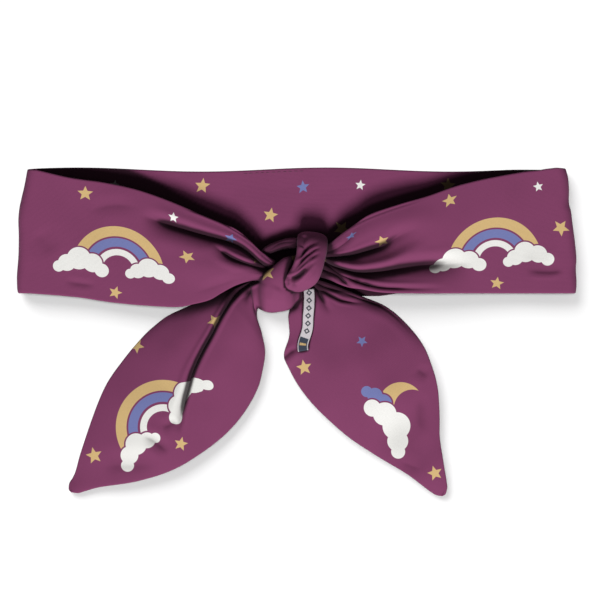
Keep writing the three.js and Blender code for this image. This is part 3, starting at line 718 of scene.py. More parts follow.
# %% [markdown]
# Both ends are made as rows from the inner edge to the outer one. The tail's own rows come from
# its outline. The left end has more rows before them: there the same cloth comes out from under
# the knot's wrap as a plump lobe, and no seam parts the two. Each row has the place and height of
# both edges, how far the cloth rises between them, and how square that rise is. From about a third
# of its length on, a tail's edges stand a few millimetres off the table in soft waves, as jersey
# curls, and sink again towards the tip. That gives the soft shadow beside them.

# %% Rows of the two ends
LOBE_ROWS = [
    {"inner": (0.03, -0.34), "outer": (0.03, 0.17), "low": 5.4, "high": 8.0, "rise": 0.8, "full": 1.0},
    {"inner": (-0.07, -0.406), "outer": (-0.075, 0.172), "low": 5.3, "high": 8.6, "rise": 2.2,
     "full": 1.0},
    {"inner": (-0.13, -0.468), "outer": (-0.14, 0.166), "low": 5.1, "high": 9.2, "rise": 4.4,
     "full": 1.0},
    {"inner": (-0.203, -0.492), "outer": (-0.218, 0.148), "low": 5.0, "high": 9.6, "rise": 5.8,
     "full": 1.0},
    {"inner": (-0.304, -0.508), "outer": (-0.304, 0.098), "low": 4.8, "high": 9.6, "rise": 6.1,
     "full": 1.0},
    {"inner": (-0.42, -0.517), "outer": (-0.413, 0.018), "low": 4.6, "high": 9.4, "rise": 5.9,
     "full": 1.0},
    {"inner": (-0.505, -0.503), "outer": (-0.51, -0.043), "low": 4.3, "high": 8.2, "rise": 5.3,
     "full": 0.9},
    {"inner": (-0.566, -0.48), "outer": (-0.58, -0.101), "low": 4.1, "high": 6.6, "rise": 4.4,
     "full": 0.75},
    {"inner": (-0.605, -0.463), "outer": (-0.634, -0.121), "low": 4.05, "high": 5.5, "rise": 3.6,
     "full": 0.6},
    {"inner": (-0.634, -0.498), "outer": (-0.689, -0.135), "low": 4.0, "high": 4.7, "rise": 2.7,
     "full": 0.4},
]
FIRST_TAIL_ROW = {"left": 0.066, "right": 0.0}
TAIL_COLUMNS, TAIL_LIFT = 112, 3.6
EDGE_LIFTS = {"left": (4.6, 1.4), "right": (2.4, 4.8)}
ROOT_SPAN, LIFT_SPAN, TIP_SPAN, TIP_SINK = (0.02, 0.42), (0.14, 0.42), (0.85, 1.0), 0.55
DOME_SPAN, DOME_END, DOME_SINK = (-0.1, 0.22), (0.45, 0.95), 0.8
TIPWARD = 0.94
LIFT_WAVE, LIFT_WAVE_PACE, LIFT_WAVE_START = 0.18, 11.0, {"left": 0.6, "right": 2.4}


def end_rows(side, tail, plan):
    """One long table: inner x and y, outer x and y, low, high, rise, full."""
    rows = []
    if side == "left":
        for row in LOBE_ROWS:
            rows.append([*knot_place(*row["inner"]), *knot_place(*row["outer"]),
                         row["low"], row["high"], row["rise"], row["full"]])
    for along in np.linspace(FIRST_TAIL_ROW[side], 1, 46):
        inner, outer = plan.inner(along), plan.outer(along)
        width = np.linalg.norm(outer - inner)
        level = BACK_LEVEL + TAIL_LIFT * (1 - smooth(along, *ROOT_SPAN))
        lifted = smooth(along, *LIFT_SPAN) * (1 - TIP_SINK * smooth(along, *TIP_SPAN))
        turn = LIFT_WAVE_PACE * along + LIFT_WAVE_START[side]
        wave = 1 - LIFT_WAVE + LIFT_WAVE * math.sin(turn)
        low, high = (level + lift * lifted * wave for lift in EDGE_LIFTS[side])
        crown = tail["dome"] * min(1, 2 * width / TAIL_WIDTH) * smooth(along, *DOME_SPAN)
        crown = crown * (1 - DOME_SINK * smooth(along, *DOME_END))
        rows.append([*inner, *outer, low, high, crown, 0.0])
    return np.array(rows)


def even_rows(table, count):
    """The table's rows as a smooth surface, spaced evenly along its middle."""
    middle = (table[:, 0:2] + table[:, 2:4]) / 2
    length = np.r_[0, np.cumsum(np.linalg.norm(np.diff(middle, axis=0), axis=1))]
    slope = np.gradient(table, length, axis=0)
    at = length[-1] * np.linspace(0, 1, count) ** TIPWARD
    i = np.clip(np.searchsorted(length, at, side="right") - 1, 0, len(length) - 2)
    g = (length[i + 1] - length[i])[:, None]
    t = (at - length[i])[:, None] / g
    return bridge(table[i], table[i + 1], g * slope[i], g * slope[i + 1], t)


# %% [markdown]
# A leaf is cut from flat cloth, so its UV map is the flat plan, turned so that the print runs with
# the tail. Where the cloth stands steeply, the length of the slope is added, so that neither print
# nor knit is stretched there.

# %% Make the two ends
END_ROWS = {"left": 300, "right": 200}
SQUARE_ARCH = 2.6
END_SEEDS = {"left": 21, "right": 22}
PRINT_TURN = {"left": -1, "right": 1}
TAIL_PRINTS = {"left": (106.0, 24.5), "right": (24.0, 70.0)}
LOBE_FOLDS = [
    {"path": [(-0.16, -0.01), (-0.17, -0.1), (-0.175, -0.2), (-0.16, -0.27)],
     "deep": 0.9, "wide": 1.3, "fade": (0.2, 0.3), "shade": 0.35},
    {"path": [(-0.5, -0.09), (-0.57, -0.17), (-0.585, -0.28), (-0.57, -0.4), (-0.575, -0.48)],
     "deep": 1.3, "wide": 1.6, "steep": 0.8, "fade": (0.4, 0.0), "shade": 0.55},
    {"path": [(-0.3, -0.2), (-0.36, -0.3), (-0.38, -0.42)],
     "deep": -0.7, "wide": 3.5, "fade": (0.3, 0.3)},
]


def steep_extra(middle):
    """How much longer the cloth is than its plan, from the middle of each row outwards."""
    step = np.diff(middle, axis=1)
    extra = np.linalg.norm(step, axis=2) - np.linalg.norm(step[..., :2], axis=2)
    total = np.concatenate([np.zeros((len(middle), 1)), np.cumsum(extra, axis=1)], 1)
    return total - total[:, total.shape[1] // 2][:, None]


ends = {}
for side, tail in TAILS.items():
    plan = tail_plan(tail)
    rows = even_rows(end_rows(side, tail, plan), END_ROWS[side])
    inner, outer, low, high, rise, full = (
        rows[:, 0:2], rows[:, 2:4], rows[:, 4:5], rows[:, 5:6], rows[:, 6:7], rows[:, 7:8]
    )
    width = np.linalg.norm(outer - inner, axis=1)
    across = across_shares(np.maximum(width, 1.0), TAIL_COLUMNS)
    flat = inner[:, None] * (1 - across[..., None]) + outer[:, None] * across[..., None]
    off = np.abs(2 * across - 1)
    soft_arch = 1 - off**2
    full_arch = np.clip(1 - off**SQUARE_ARCH, 0, 1) ** 0.5
    arch = soft_arch * (1 - np.clip(full, 0, 1)) + full_arch * np.clip(full, 0, 1)
    folds, shade = fold_field(plan, flat, tail["folds"])
    if side == "left":
        lobe_folds, lobe_shade = fold_field(knot_place, flat, LOBE_FOLDS)
        folds, shade = folds + lobe_folds, np.maximum(shade, lobe_shade)
    uneven = softness(flat[..., 0], flat[..., 1], END_SEEDS[side], 26, 0.3)
    folds += uneven * np.sin(math.pi * across)
    height = low * (1 - across) + high * across + rise * arch + folds
    grid = np.dstack([flat, np.maximum(BACK_LEVEL, height)])
    start, ahead, outward = plan.frame
    turn = PRINT_TURN[side]
    uv = np.dstack([
        turn * ((flat - start) @ ahead) + TAIL_PRINTS[side][0],
        (flat - start) @ outward + steep_extra(grid) + TAIL_PRINTS[side][1],
    ]) / UV_UNIT
    distance = np.minimum(across, 1 - across) * width[:, None]
    tip = np.linalg.norm(flat - (inner[-1] + outer[-1]) / 2, axis=2)
    distance = np.minimum(distance, tip)
    ends[side] = cloth_mesh("jersey_end_" + side, grid, round_edge(distance), uv, shade)

# %% [markdown]
# ## The knot
#
# The left band's cloth comes up behind the knot, turns over the top as a hood and runs down over
# everything as the wrap, before it tucks under and becomes the right end. Here it is a bundle, so
# it is made as a tube of rounded sections. Each section is given by its left and right side, seen
# from above, by its height and by its thickness. Its creases are laid in plan, as the folds are, and
# paint shade along them the same way. A few hardly dip and only dim a patch of the wrap, or the roll
# behind, with painted shade.

# %% Sections of the wrap and of the roll behind it
WRAP = [
    (-0.012, 0.332, 0.37, 0.283, 0.18, 0.24), (-0.027, 0.387, 0.3915, 0.332, 0.32, 0.31),
    (-0.033, 0.402, 0.4, 0.345, 0.46, 0.33), (-0.039, 0.363, 0.402, 0.3, 0.59, 0.34),
    (-0.049, 0.264, 0.389, 0.209, 0.72, 0.35), (-0.068, 0.154, 0.358, 0.098, 0.81, 0.36),
    (-0.108, 0.05, 0.319, -0.012, 0.81, 0.36), (-0.165, -0.035, 0.27, -0.105, 0.74, 0.35),
    (-0.245, -0.11, 0.205, -0.165, 0.63, 0.33), (-0.305, -0.165, 0.12, -0.215, 0.52, 0.29),
    (-0.27, -0.215, 0.01, -0.25, 0.43, 0.22),
]
ROLL = [
    (-0.638, 0.049, -0.638, 0.172, 0.2, 0.24), (-0.493, 0.172, -0.5365, 0.27, 0.22, 0.28),
    (-0.3625, 0.2275, -0.406, 0.332, 0.23, 0.28), (-0.203, 0.258, -0.2175, 0.387, 0.24, 0.28),
    (-0.029, 0.27, -0.0435, 0.4, 0.26, 0.28), (0.145, 0.283, 0.13, 0.394, 0.26, 0.26),
]
WRAP_CREASES = [
    {"path": [(0.3, 0.36), (0.23, 0.335), (0.16, 0.307), (0.087, 0.262), (0.04, 0.215),
              (-0.005, 0.155), (-0.04, 0.1)],
     "deep": 2.4, "wide": (1.0, 1.5), "steep": 0.8, "swell": 0.1, "fade": (0.6, 0.35),
     "shade": 1.0},
    {"path": [(-0.02, 0.375), (0.15, 0.38), (0.37, 0.385)],
     "deep": 0.05, "wide": 4.6, "fade": (0.0, 0.0), "shade": 0.6},
    {"path": [(0.31, 0.28), (0.22, 0.255), (0.116, 0.19), (0.04, 0.13), (-0.03, 0.06), (-0.1, -0.02)],
     "deep": 2.1, "wide": (0.9, 1.2), "steep": 1.3, "swell": 0.15, "fade": (0.4, 0.4),
     "shade": 1.0},
    {"path": [(0.3, 0.22), (0.2, 0.172), (0.1, 0.1), (0.0, 0.02), (-0.09, -0.06)],
     "deep": 1.3, "wide": 0.9, "swell": 0.2, "fade": (0.3, 0.4), "shade": 0.9},
    {"path": [(0.23, 0.13), (0.14, 0.055), (0.07, -0.01), (0.0, -0.068), (-0.06, -0.1),
              (-0.1, -0.112)],
     "deep": 2.2, "wide": (0.9, 1.1), "steep": 0.9, "swell": 0.4, "fade": (0.6, 0.0), "shade": 1.0},
    {"path": [(0.07, 0.44), (0.05, 0.36), (0.02, 0.27)],
     "deep": 0.8, "wide": 1.6, "swell": 0.3, "fade": (0.2, 0.2), "shade": 0.3},
    {"path": [(0.24, 0.06), (0.17, -0.05), (0.06, -0.15)],
     "deep": 0.4, "wide": 2.0, "fade": (0.4, 0.4), "shade": 0.1},
    {"path": [(0.33, 0.22), (0.28, 0.08), (0.2, -0.04), (0.1, -0.12)],
     "deep": 0.05, "wide": 4.6, "fade": (0.2, 0.4), "shade": 0.3},
    {"path": [(-0.16, -0.06), (-0.17, -0.13), (-0.17, -0.2)],
     "deep": 0.8, "wide": 1.4, "fade": (0.3, 0.3), "shade": 0.4},
    {"path": [(-0.09, -0.12), (-0.09, -0.19), (-0.07, -0.24)],
     "deep": 0.7, "wide": 1.3, "fade": (0.1, 0.4), "shade": 0.4},
]
ROLL_CREASES = [
    {"path": [(-0.5, 0.2), (-0.3, 0.33), (-0.02, 0.36)],
     "deep": 0.4, "wide": 0.9, "fade": (0.2, 0.2), "shade": 0.4},
    {"path": [(-0.62, 0.1), (-0.45, 0.24), (-0.2, 0.32), (0.1, 0.34)],
     "deep": 0.05, "wide": 6.5, "fade": (0.0, 0.0), "shade": 1.05},
]

# %% A bundle of cloth from its sections
BUNDLE_RINGS, BUNDLE_SIDES = 150, 128
END_SHARE_ROUND, END_SMALLEST = 0.05, 0.02
GIRTH_SHARE = 0.85


def bundle(name, table, creases, print_start, square, seed):
    """A closed bundle, with its print started at a place on the cloth."""
    rows = np.array(table)
    left = np.array([knot_place(*row[0:2]) for row in rows])
    right = np.array([knot_place(*row[2:4]) for row in rows])
    walk = curve_through(np.column_stack([
        left, right, rows[:, 4] * KNOT_RISE, rows[:, 5] * KNOT_RISE / 2,
    ]))
    share = np.linspace(0, 1, BUNDLE_RINGS)
    values = walk(share)
    left, right, high, half_thick = values[:, 0:2], values[:, 2:4], values[:, 4], values[:, 5]
    centre = np.column_stack([(left + right) / 2, high])
    across = np.column_stack([right - left, 0 * high])
    half_wide = np.linalg.norm(across, axis=1) / 2
    across = unit(across)
    outward = unit(np.cross(np.gradient(centre, axis=0), across))
    if outward[BUNDLE_RINGS // 2, 2] < 0:
        outward = -outward
    angle = np.linspace(0, 2 * math.pi, BUNDLE_SIDES, endpoint=False)
    side = np.sign(np.cos(angle)) * np.abs(np.cos(angle)) ** square
    top = np.sign(np.sin(angle)) * np.abs(np.sin(angle)) ** square
    end = np.clip(np.minimum(share, 1 - share) / END_SHARE_ROUND, 0, 1)
    size = np.maximum(np.sqrt(1 - (1 - end) ** 2), END_SMALLEST)[:, None, None]
    ring = (
        across[:, None] * (side * half_wide[:, None])[..., None]
        + outward[:, None] * (top * half_thick[:, None])[..., None]
    )
    places = centre[:, None] + ring * size
    dent, shade = fold_field(knot_place, places[..., :2], creases)
    outer = smooth(top, -0.1, 0.45)[None] * size[..., 0]
    length = np.linalg.norm(np.diff(centre, axis=0), axis=1).sum()
    way = share[:, None] * length + 0 * angle[None]
    girth = (half_wide + half_thick)[:, None] * GIRTH_SHARE * angle[None]
    dent = dent * outer + softness(way, girth, seed, 11, 0.12) * size[..., 0]
    round_it = np.roll(places, -1, 1) - np.roll(places, 1, 1)
    normal = unit(np.cross(np.gradient(places, axis=0), round_it))
    facing = np.sign((normal * ring).sum(2, keepdims=True))
    points = places + normal * facing * dent[..., None]
    uv = np.dstack([way + print_start[0], girth + print_start[1]]) / UV_UNIT
    return tube_mesh(name, points, uv, shade * outer)


def tube_mesh(name, points, uv, shade):
    """A closed tube from rings of points, with a fan at each end."""
    rings, sides = points.shape[:2]
    index = np.arange(rings * sides).reshape(rings, sides)
    turned = np.roll(index, -1, axis=1)
    quads = np.stack([index[:-1], turned[:-1], turned[1:], index[1:]], -1).reshape(-1, 4)
    places = points.reshape(-1, 3)
    first, last = len(places), len(places) + 1
    places = np.vstack([places, points[0].mean(0), points[-1].mean(0)])
    fans = np.concatenate([
        np.stack([turned[0], index[0], np.full(sides, first)], 1),
        np.stack([index[-1], turned[-1], np.full(sides, last)], 1),
    ])
    last_column = uv[:, -1:] + (uv[:, 1:2] - uv[:, 0:1])
    wide = np.concatenate([uv, last_column], 1)
    corners = [wide[:-1, :-1], wide[:-1, 1:], wide[1:, 1:], wide[1:, :-1]]
    quad_uv = np.stack(corners, 2).reshape(-1, 2)
    point_uv = np.vstack([uv.reshape(-1, 2), uv[0, 0], uv[-1, 0]])
    corner_uv = np.vstack([quad_uv, point_uv[fans.ravel()]])
    faces = quads.tolist() + fans.tolist()
    return make_piece(name, places, faces, corner_uv, np.r_[shade.ravel(), 0, 0], [index])


# %% Make the bundles
wrap = bundle("jersey_knot_wrap", WRAP, WRAP_CREASES, (64.0, -5.0), 0.72, 31)
roll = bundle("jersey_knot_back", ROLL, ROLL_CREASES, (64.0, -5.0), 0.9, 33)

# %% [markdown]
# ## The label
#
# A narrow woven ribbon, folded double and sewn into the seam, comes out under the knot and lies on
# the right tail. It follows the tail's surface at a small height, stiffer than the jersey across its
# width, and its folded end curls up a little.

# %% Make the label
LABEL_LINE = [(0.02, 0.49), (0.06, 0.45), (0.09, 0.4), (0.145, 0.285), (0.2, 0.235), (0.255, 0.183)]
LABEL_WIDTH, LABEL_CLOTH = 4.7, 0.7
LABEL_ROWS, LABEL_COLUMNS = 90, 22
LABEL_GAP, LABEL_CURL = 0.3, 0.5

right_plan = tail_plan(TAILS["right"])
line = curve_through(LABEL_LINE)(np.linspace(0, 1, LABEL_ROWS))
label_flat = np.array([right_plan(a, b) for a, b in line])
label_walk = curve_through(label_flat)
label_flat = label_walk(np.linspace(0, 1, LABEL_ROWS))
label_length = label_walk.length
ahead = unit(np.gradient(label_flat, axis=0))
sideways = np.stack([-ahead[:, 1], ahead[:, 0]], 1)
label_across = across_shares(np.full(LABEL_ROWS, LABEL_WIDTH), LABEL_COLUMNS)
from_middle = (label_across - 0.5) * LABEL_WIDTH
label_grid = label_flat[:, None] + sideways[:, None] * from_middle[..., None]


def point_values(data, name):
    """Three numbers for each point of a mesh, such as its place or its normal."""
    values = np.empty(len(data) * 3, np.float32)
    data.foreach_get(name, values)
    return values.reshape(-1, 3)


def tail_top(points, reach=30):
    """Height of the right tail's upper face under plan points."""
    count = GRIDS["jersey_end_right"][0].size
    places = point_values(ends["right"].data.vertices, "co")[:count].astype(float) / MM
    near = places[np.linalg.norm(places[:, :2] - points.mean((0, 1)), axis=1) < reach]
    gaps = np.linalg.norm(points.reshape(-1, 1, 2) - near[None, :, :2], axis=2)
    weight = 1 / (gaps + 0.05) ** 4
    return ((weight * near[:, 2]).sum(1) / weight.sum(1)).reshape(points.shape[:2])


label_under = tail_top(label_grid)
label_height = label_under.mean(1, keepdims=True) * 0.5 + label_under * 0.5
label_height = label_height + LABEL_GAP + LABEL_CLOTH / 2
label_share = np.linspace(0, 1, LABEL_ROWS)[:, None]
curl = LABEL_CURL * smooth(label_share, 0.75, 1.0)
label_middle = np.dstack([label_grid, label_height + curl])
label_uv = np.dstack([
    label_share * label_length + 0 * label_across, label_across * LABEL_WIDTH,
]) / UV_UNIT
label_edge = np.minimum(label_across, 1 - label_across) * LABEL_WIDTH
label_half = round_edge(label_edge, LABEL_CLOTH)
label = cloth_mesh("woven_label", label_middle, label_half, label_uv, 0 * label_across)
print("the label is", round(label_length, 1), "mm long")

# %% [markdown]
# ## Stitches
#
# The strip was sewn inside out and turned through a short opening in its seam. That opening is
# closed with a row of stitches just inside the back's upper edge. Geometry Nodes lays them: a line
# becomes a curve, points are set along it at the pitch of the stitches, and each point gets a short
# piece of thread with a slight random turn. The line follows the surface of the back.

# %% The stitch tree
BEAD_SEGMENTS, BEAD_RINGS = 12, 10
STITCH_TURN = 0.08


def stitch_tree():
    """The tree, and the identifiers of its inputs."""
    tree = bpy.data.node_groups.new("stitch row", "GeometryNodeTree")
    inputs = {}
    for name, kind in [
        ("Line", "Geometry"), ("Pitch", "Float"), ("Length", "Float"), ("Thread", "Float"),
        ("Seed", "Int"), ("Material", "Material"),
    ]:
        socket = tree.interface.new_socket(name, in_out="INPUT", socket_type="NodeSocket" + kind)
        inputs[name] = socket.identifier
    tree.interface.new_socket("Stitches", in_out="OUTPUT", socket_type="NodeSocketGeometry")

    def node(kind, **settings):
        made = tree.nodes.new(kind)
        for name, value in settings.items():
            setattr(made, name, value)
        return made

    def join(output, socket):
        tree.links.new(output, socket)

    def half(output):
        halved = node("ShaderNodeMath", operation="MULTIPLY")
        halved.inputs[1].default_value = 0.5
        join(output, halved.inputs[0])
        return halved.outputs[0]

    given = node("NodeGroupInput").outputs
    curve = node("GeometryNodeMeshToCurve")
    points = node("GeometryNodeCurveToPoints", mode="LENGTH")
    bead = node("GeometryNodeMeshUVSphere")
    bead.inputs["Segments"].default_value = BEAD_SEGMENTS
    bead.inputs["Rings"].default_value = BEAD_RINGS
    named = node("GeometryNodeStoreNamedAttribute", data_type="FLOAT2", domain="CORNER")
    named.inputs["Name"].default_value = "thread"
    size = node("ShaderNodeCombineXYZ")
    turn = node("FunctionNodeRandomValue", data_type="FLOAT_VECTOR")
    turn.inputs[0].default_value = (-STITCH_TURN,) * 3
    turn.inputs[1].default_value = (STITCH_TURN,) * 3
    instances = node("GeometryNodeInstanceOnPoints")
    turned = node("GeometryNodeRotateInstances")
    real = node("GeometryNodeRealizeInstances")
    even = node("GeometryNodeSetShadeSmooth")
    dyed = node("GeometryNodeSetMaterial")
    join(given["Line"], curve.inputs["Mesh"])
    join(curve.outputs["Curve"], points.inputs["Curve"])
    join(given["Pitch"], points.inputs["Length"])
    join(bead.outputs["Mesh"], named.inputs["Geometry"])
    join(bead.outputs["UV Map"], named.inputs["Value"])
    for name, socket in zip(("Thread", "Thread", "Length"), size.inputs):
        join(half(given[name]), socket)
    join(given["Seed"], turn.inputs["Seed"])
    join(points.outputs["Points"], instances.inputs["Points"])
    join(points.outputs["Rotation"], instances.inputs["Rotation"])
    join(named.outputs["Geometry"], instances.inputs["Instance"])
    join(size.outputs[0], instances.inputs["Scale"])
    join(instances.outputs["Instances"], turned.inputs["Instances"])
    join(turn.outputs[0], turned.inputs["Rotation"])
    join(turned.outputs["Instances"], real.inputs["Geometry"])
    join(real.outputs["Geometry"], even.inputs["Geometry"])
    join(even.outputs["Geometry"], dyed.inputs["Geometry"])
    join(given["Material"], dyed.inputs["Material"])
    join(dyed.outputs["Geometry"], node("NodeGroupOutput").inputs["Stitches"])
    return tree, inputs


# %% Make the stitches
STITCH = {"Pitch": 2.3 * MM, "Length": 1.7 * MM, "Thread": 0.34 * MM, "Seed": 4}
STITCH_FROM, STITCH_TO, STITCH_INSET = -23.0, 2.0, 1.5
STITCH_GAP = 0.02
TOP_COLUMNS = 12

thread = bpy.data.materials.new("sewing thread")
stitch_x = np.linspace(STITCH_FROM, STITCH_TO, 40)
stitch_y = back_edge(stitch_x) - STITCH_INSET
back_top = back[:, -TOP_COLUMNS:].reshape(-1, 3)
gaps = np.hypot(stitch_x[:, None] - back_top[None, :, 0], stitch_y[:, None] - back_top[None, :, 1])
stitch_z = back_top[gaps.argmin(1), 2] + CLOTH / 2 + STITCH_GAP
line_mesh = bpy.data.meshes.new("seam_stitches")
line_mesh.from_pydata(
    (np.column_stack([stitch_x, stitch_y, stitch_z]) * MM).tolist(),
    [(k, k + 1) for k in range(len(stitch_x) - 1)], [],
)
stitches = bpy.data.objects.new("seam_stitches", line_mesh)
bpy.context.scene.collection.objects.link(stitches)
tree, inputs = stitch_tree()
row = stitches.modifiers.new("stitch row", "NODES")
row.node_group = tree
for name, value in {**STITCH, "Material": thread}.items():
    row[inputs[name]] = value
graph = bpy.context.evaluated_depsgraph_get()
sewn = bpy.data.meshes.new_from_object(
    stitches.evaluated_get(graph), preserve_all_data_layers=True, depsgraph=graph
)
stitches.modifiers.remove(row)
stitches.data = sewn
sewn.name = "seam_stitches"
print("the seam has", len(sewn.polygons) // (BEAD_SEGMENTS * BEAD_RINGS), "stitches")

# %% [markdown]
# ## How open each spot is
#
# Cloth in a fold or under an edge is painted darker than the light alone makes it: painted shade.
# So each mesh stores how much open space its surface sees. Rays go out from a grid of spots, those
# that meet cloth nearby count as shut, and the material paints the colour darker there as shade.

# %% Cast rays and store the result
OPEN_REACH = 26 * MM
RAY_START = 0.25 * MM
OPEN_BLUR = 3
GOLDEN_ANGLE = 2.399963
OPEN_RAYS = 48
OPEN_STEP = 2


def gather(pieces):
    """All the pieces as one tree that rays can be cast at."""
    places, faces, start = [], [], 0
    for piece in pieces:
        mesh = piece.data
        places.append(point_values(mesh.vertices, "co"))
        faces += [[start + v for v in polygon.vertices] for polygon in mesh.polygons]
        start += len(mesh.vertices)
    return BVHTree.FromPolygons(np.vstack(places).tolist(), faces)


def ray_fan(count):
    """Directions over a half sphere round Z, closer together near the top."""
    i = np.arange(count) + 0.5
    r, turn = np.sqrt(i / count), i * GOLDEN_ANGLE
    return np.stack([r * np.cos(turn), r * np.sin(turn), np.sqrt(1 - r**2)], 1)


def openness(tree, places, normals, fan):
    """From 0, shut in, to 1, open, at each place."""
    result = np.ones(len(places))
    for k, (place, normal) in enumerate(zip(places, normals)):
        up = Vector(normal)
        aside = up.orthogonal().normalized()
        beside = up.cross(aside)
        start = Vector(place) + up * RAY_START
        shut = 0.0
        for x, y, z in fan:
            found = tree.ray_cast(start, aside * x + beside * y + up * z, OPEN_REACH)[3]
            if found is not None:
                shut += 1 - (found / OPEN_REACH) ** 2
        result[k] = 1 - shut / len(fan)
    return result


def spread(values, rows, columns, shape):
    """Values known at some rows and columns, filled in between them."""
    wide = np.array([np.interp(np.arange(shape[1]), columns, line) for line in values])
    return np.array([np.interp(np.arange(shape[0]), rows, line) for line in wide.T]).T


def store_openness(piece, tree, fan):
    """Cast rays from some points of each grid, and store the values filled in between."""
    mesh = piece.data
    places = point_values(mesh.vertices, "co")
    normals = point_values(mesh.vertex_normals, "vector")
    result = np.ones(len(places))
    for grid in GRIDS[piece.name]:
        rows, columns = (
            np.unique(np.r_[np.arange(0, count, OPEN_STEP), count - 1]) for count in grid.shape
        )
        picked = grid[np.ix_(rows, columns)]
        known = openness(tree, places[picked.ravel()], normals[picked.ravel()], fan)
        filled = spread(known.reshape(picked.shape), rows, columns, grid.shape)
        result[grid] = blurred(filled, OPEN_BLUR)
    attribute = mesh.attributes.new("open", "FLOAT", "POINT")
    attribute.data.foreach_set("value", result.astype(np.float32))
    print(piece.name, "openness from", round(result.min(), 2), "to", round(result.max(), 2))


cloth_pieces = [band, *ends.values(), wrap, roll, label]
everything = gather(cloth_pieces)
for piece in cloth_pieces:
    store_openness(piece, everything, ray_fan(OPEN_RAYS))

# %% [markdown]
# ## Colours
#
# Blender's colours are linear, and eyes and pictures are not, so each colour is written as it
# looks on a screen and then turned into light.


# %% Colours
def light_of(red, green, blue, scale=0.97):
    """A colour as it looks on a screen, turned into light."""
    channel = np.array([red, green, blue]) / 255
    linear = np.where(channel <= 0.04045, channel / 12.92, ((channel + 0.055) / 1.055) ** 2.4)
    return (*(linear * scale), 1.0)


PLUM = light_of(131, 64, 102)
# The colour multiplied in where shade is painted into folds and shut-in spots.
PLUM_PAINTED_SHADE = light_of(34, 12, 24)
WHITE = light_of(243, 242, 238)
GOLD = light_of(219, 186, 129)
PERIWINKLE = light_of(120, 127, 182)
RIBBON = light_of(226, 219, 224)
RIBBON_GREY = light_of(74, 78, 86)
SLATE = light_of(64, 72, 88)
THREAD = light_of(146, 82, 118)
# The thread's colour in painted shade, between the plies of its twist.
THREAD_PAINTED_SHADE = light_of(84, 36, 62)


# %% [markdown]
# ## The print
#
# The cloth has a children's print in white, gold and periwinkle on plum. It is drawn with distance
# fields: for each shape a few nodes work out how far a point is from its outline, and the colour
# changes where that is zero. That stays crisp at any size, needs no image, and follows the cloth
# through its UV map. The design here is a plain one: clouds, a rainbow, a moon and stars on a tile
# that repeats in rows, as a printing screen would.


# %% Helpers for node formulas
class Formula:
    """Writes sums in a node tree: each call adds one node and returns its output."""

    def __init__(self, tree):
        self.tree = tree

    def node(self, kind, **settings):
        node = self.tree.nodes.new(kind)
        for name, value in settings.items():
            setattr(node, name, value)
        return node

    def put(self, socket, value):
        if isinstance(value, bpy.types.NodeSocket):
            self.tree.links.new(value, socket)
        else:
            socket.default_value = value

    def sum(self, operation, *values, clamp=False):
        node = self.node("ShaderNodeMath", operation=operation, use_clamp=clamp)
        for socket, value in zip(node.inputs, values):
            self.put(socket, value)
        return node.outputs[0]

    def vector(self, operation, *values):
        node = self.node("ShaderNodeVectorMath", operation=operation)
        for socket, value in zip(node.inputs, values):
            self.put(socket, value)
        return node.outputs["Value" if operation in ("LENGTH", "DOT_PRODUCT") else "Vector"]

    def parts(self, vector):
        node = self.node("ShaderNodeSeparateXYZ")
        self.put(node.inputs[0], vector)
        return node.outputs[0], node.outputs[1]

    def least(self, values):
        total = values[0]
        for value in values[1:]:
            total = self.sum("MINIMUM", total, value)
        return total

    def mix(self, factor, first, second, blend="MIX"):
        node = self.node("ShaderNodeMix", data_type="RGBA", blend_type=blend)
        self.put(node.inputs["Factor"], factor)
        colours = [socket for socket in node.inputs if socket.type == "RGBA"]
        self.put(colours[0], first)
        self.put(colours[1], second)
        return next(socket for socket in node.outputs if socket.type == "RGBA")

    def toned(self, colour, tone):
        """A colour times a grey."""
        grey = self.node("ShaderNodeCombineColor")
        for socket in grey.inputs:
            self.put(socket, tone)
        return self.mix(1.0, colour, grey.outputs[0], "MULTIPLY")

    def noise(self, point, scale, detail):
        node = self.node("ShaderNodeTexNoise")
        self.put(node.inputs["Vector"], point)
        self.put(node.inputs["Scale"], scale)
        self.put(node.inputs["Detail"], detail)
        return node.outputs[0]

    def bump(self, height, strength, distance):
        node = self.node("ShaderNodeBump")
        self.put(node.inputs["Strength"], strength)
        self.put(node.inputs["Distance"], distance)
        self.put(node.inputs["Height"], height)
        return node.outputs[0]

    def cloth_point(self):
        """The place on the cloth in millimetres, from the UV map."""
        node = self.node("ShaderNodeVectorMath", operation="SCALE")
        self.put(node.inputs[0], self.node("ShaderNodeUVMap", uv_map="cloth").outputs[0])
        self.put(node.inputs["Scale"], UV_UNIT)
        return node.outputs[0]


# %% The motifs of the print
CLOUD_DISCS = [
    (-11.8, -1.2, 4.4), (-5.8, 2.6, 6.0), (2.8, 4.4, 7.2), (9.8, 0.8, 5.4), (14.6, -2.0, 3.6),
]
CLOUD_FLOOR = 5.6
STAR_POINTS, STAR_WAIST = 5, 0.45


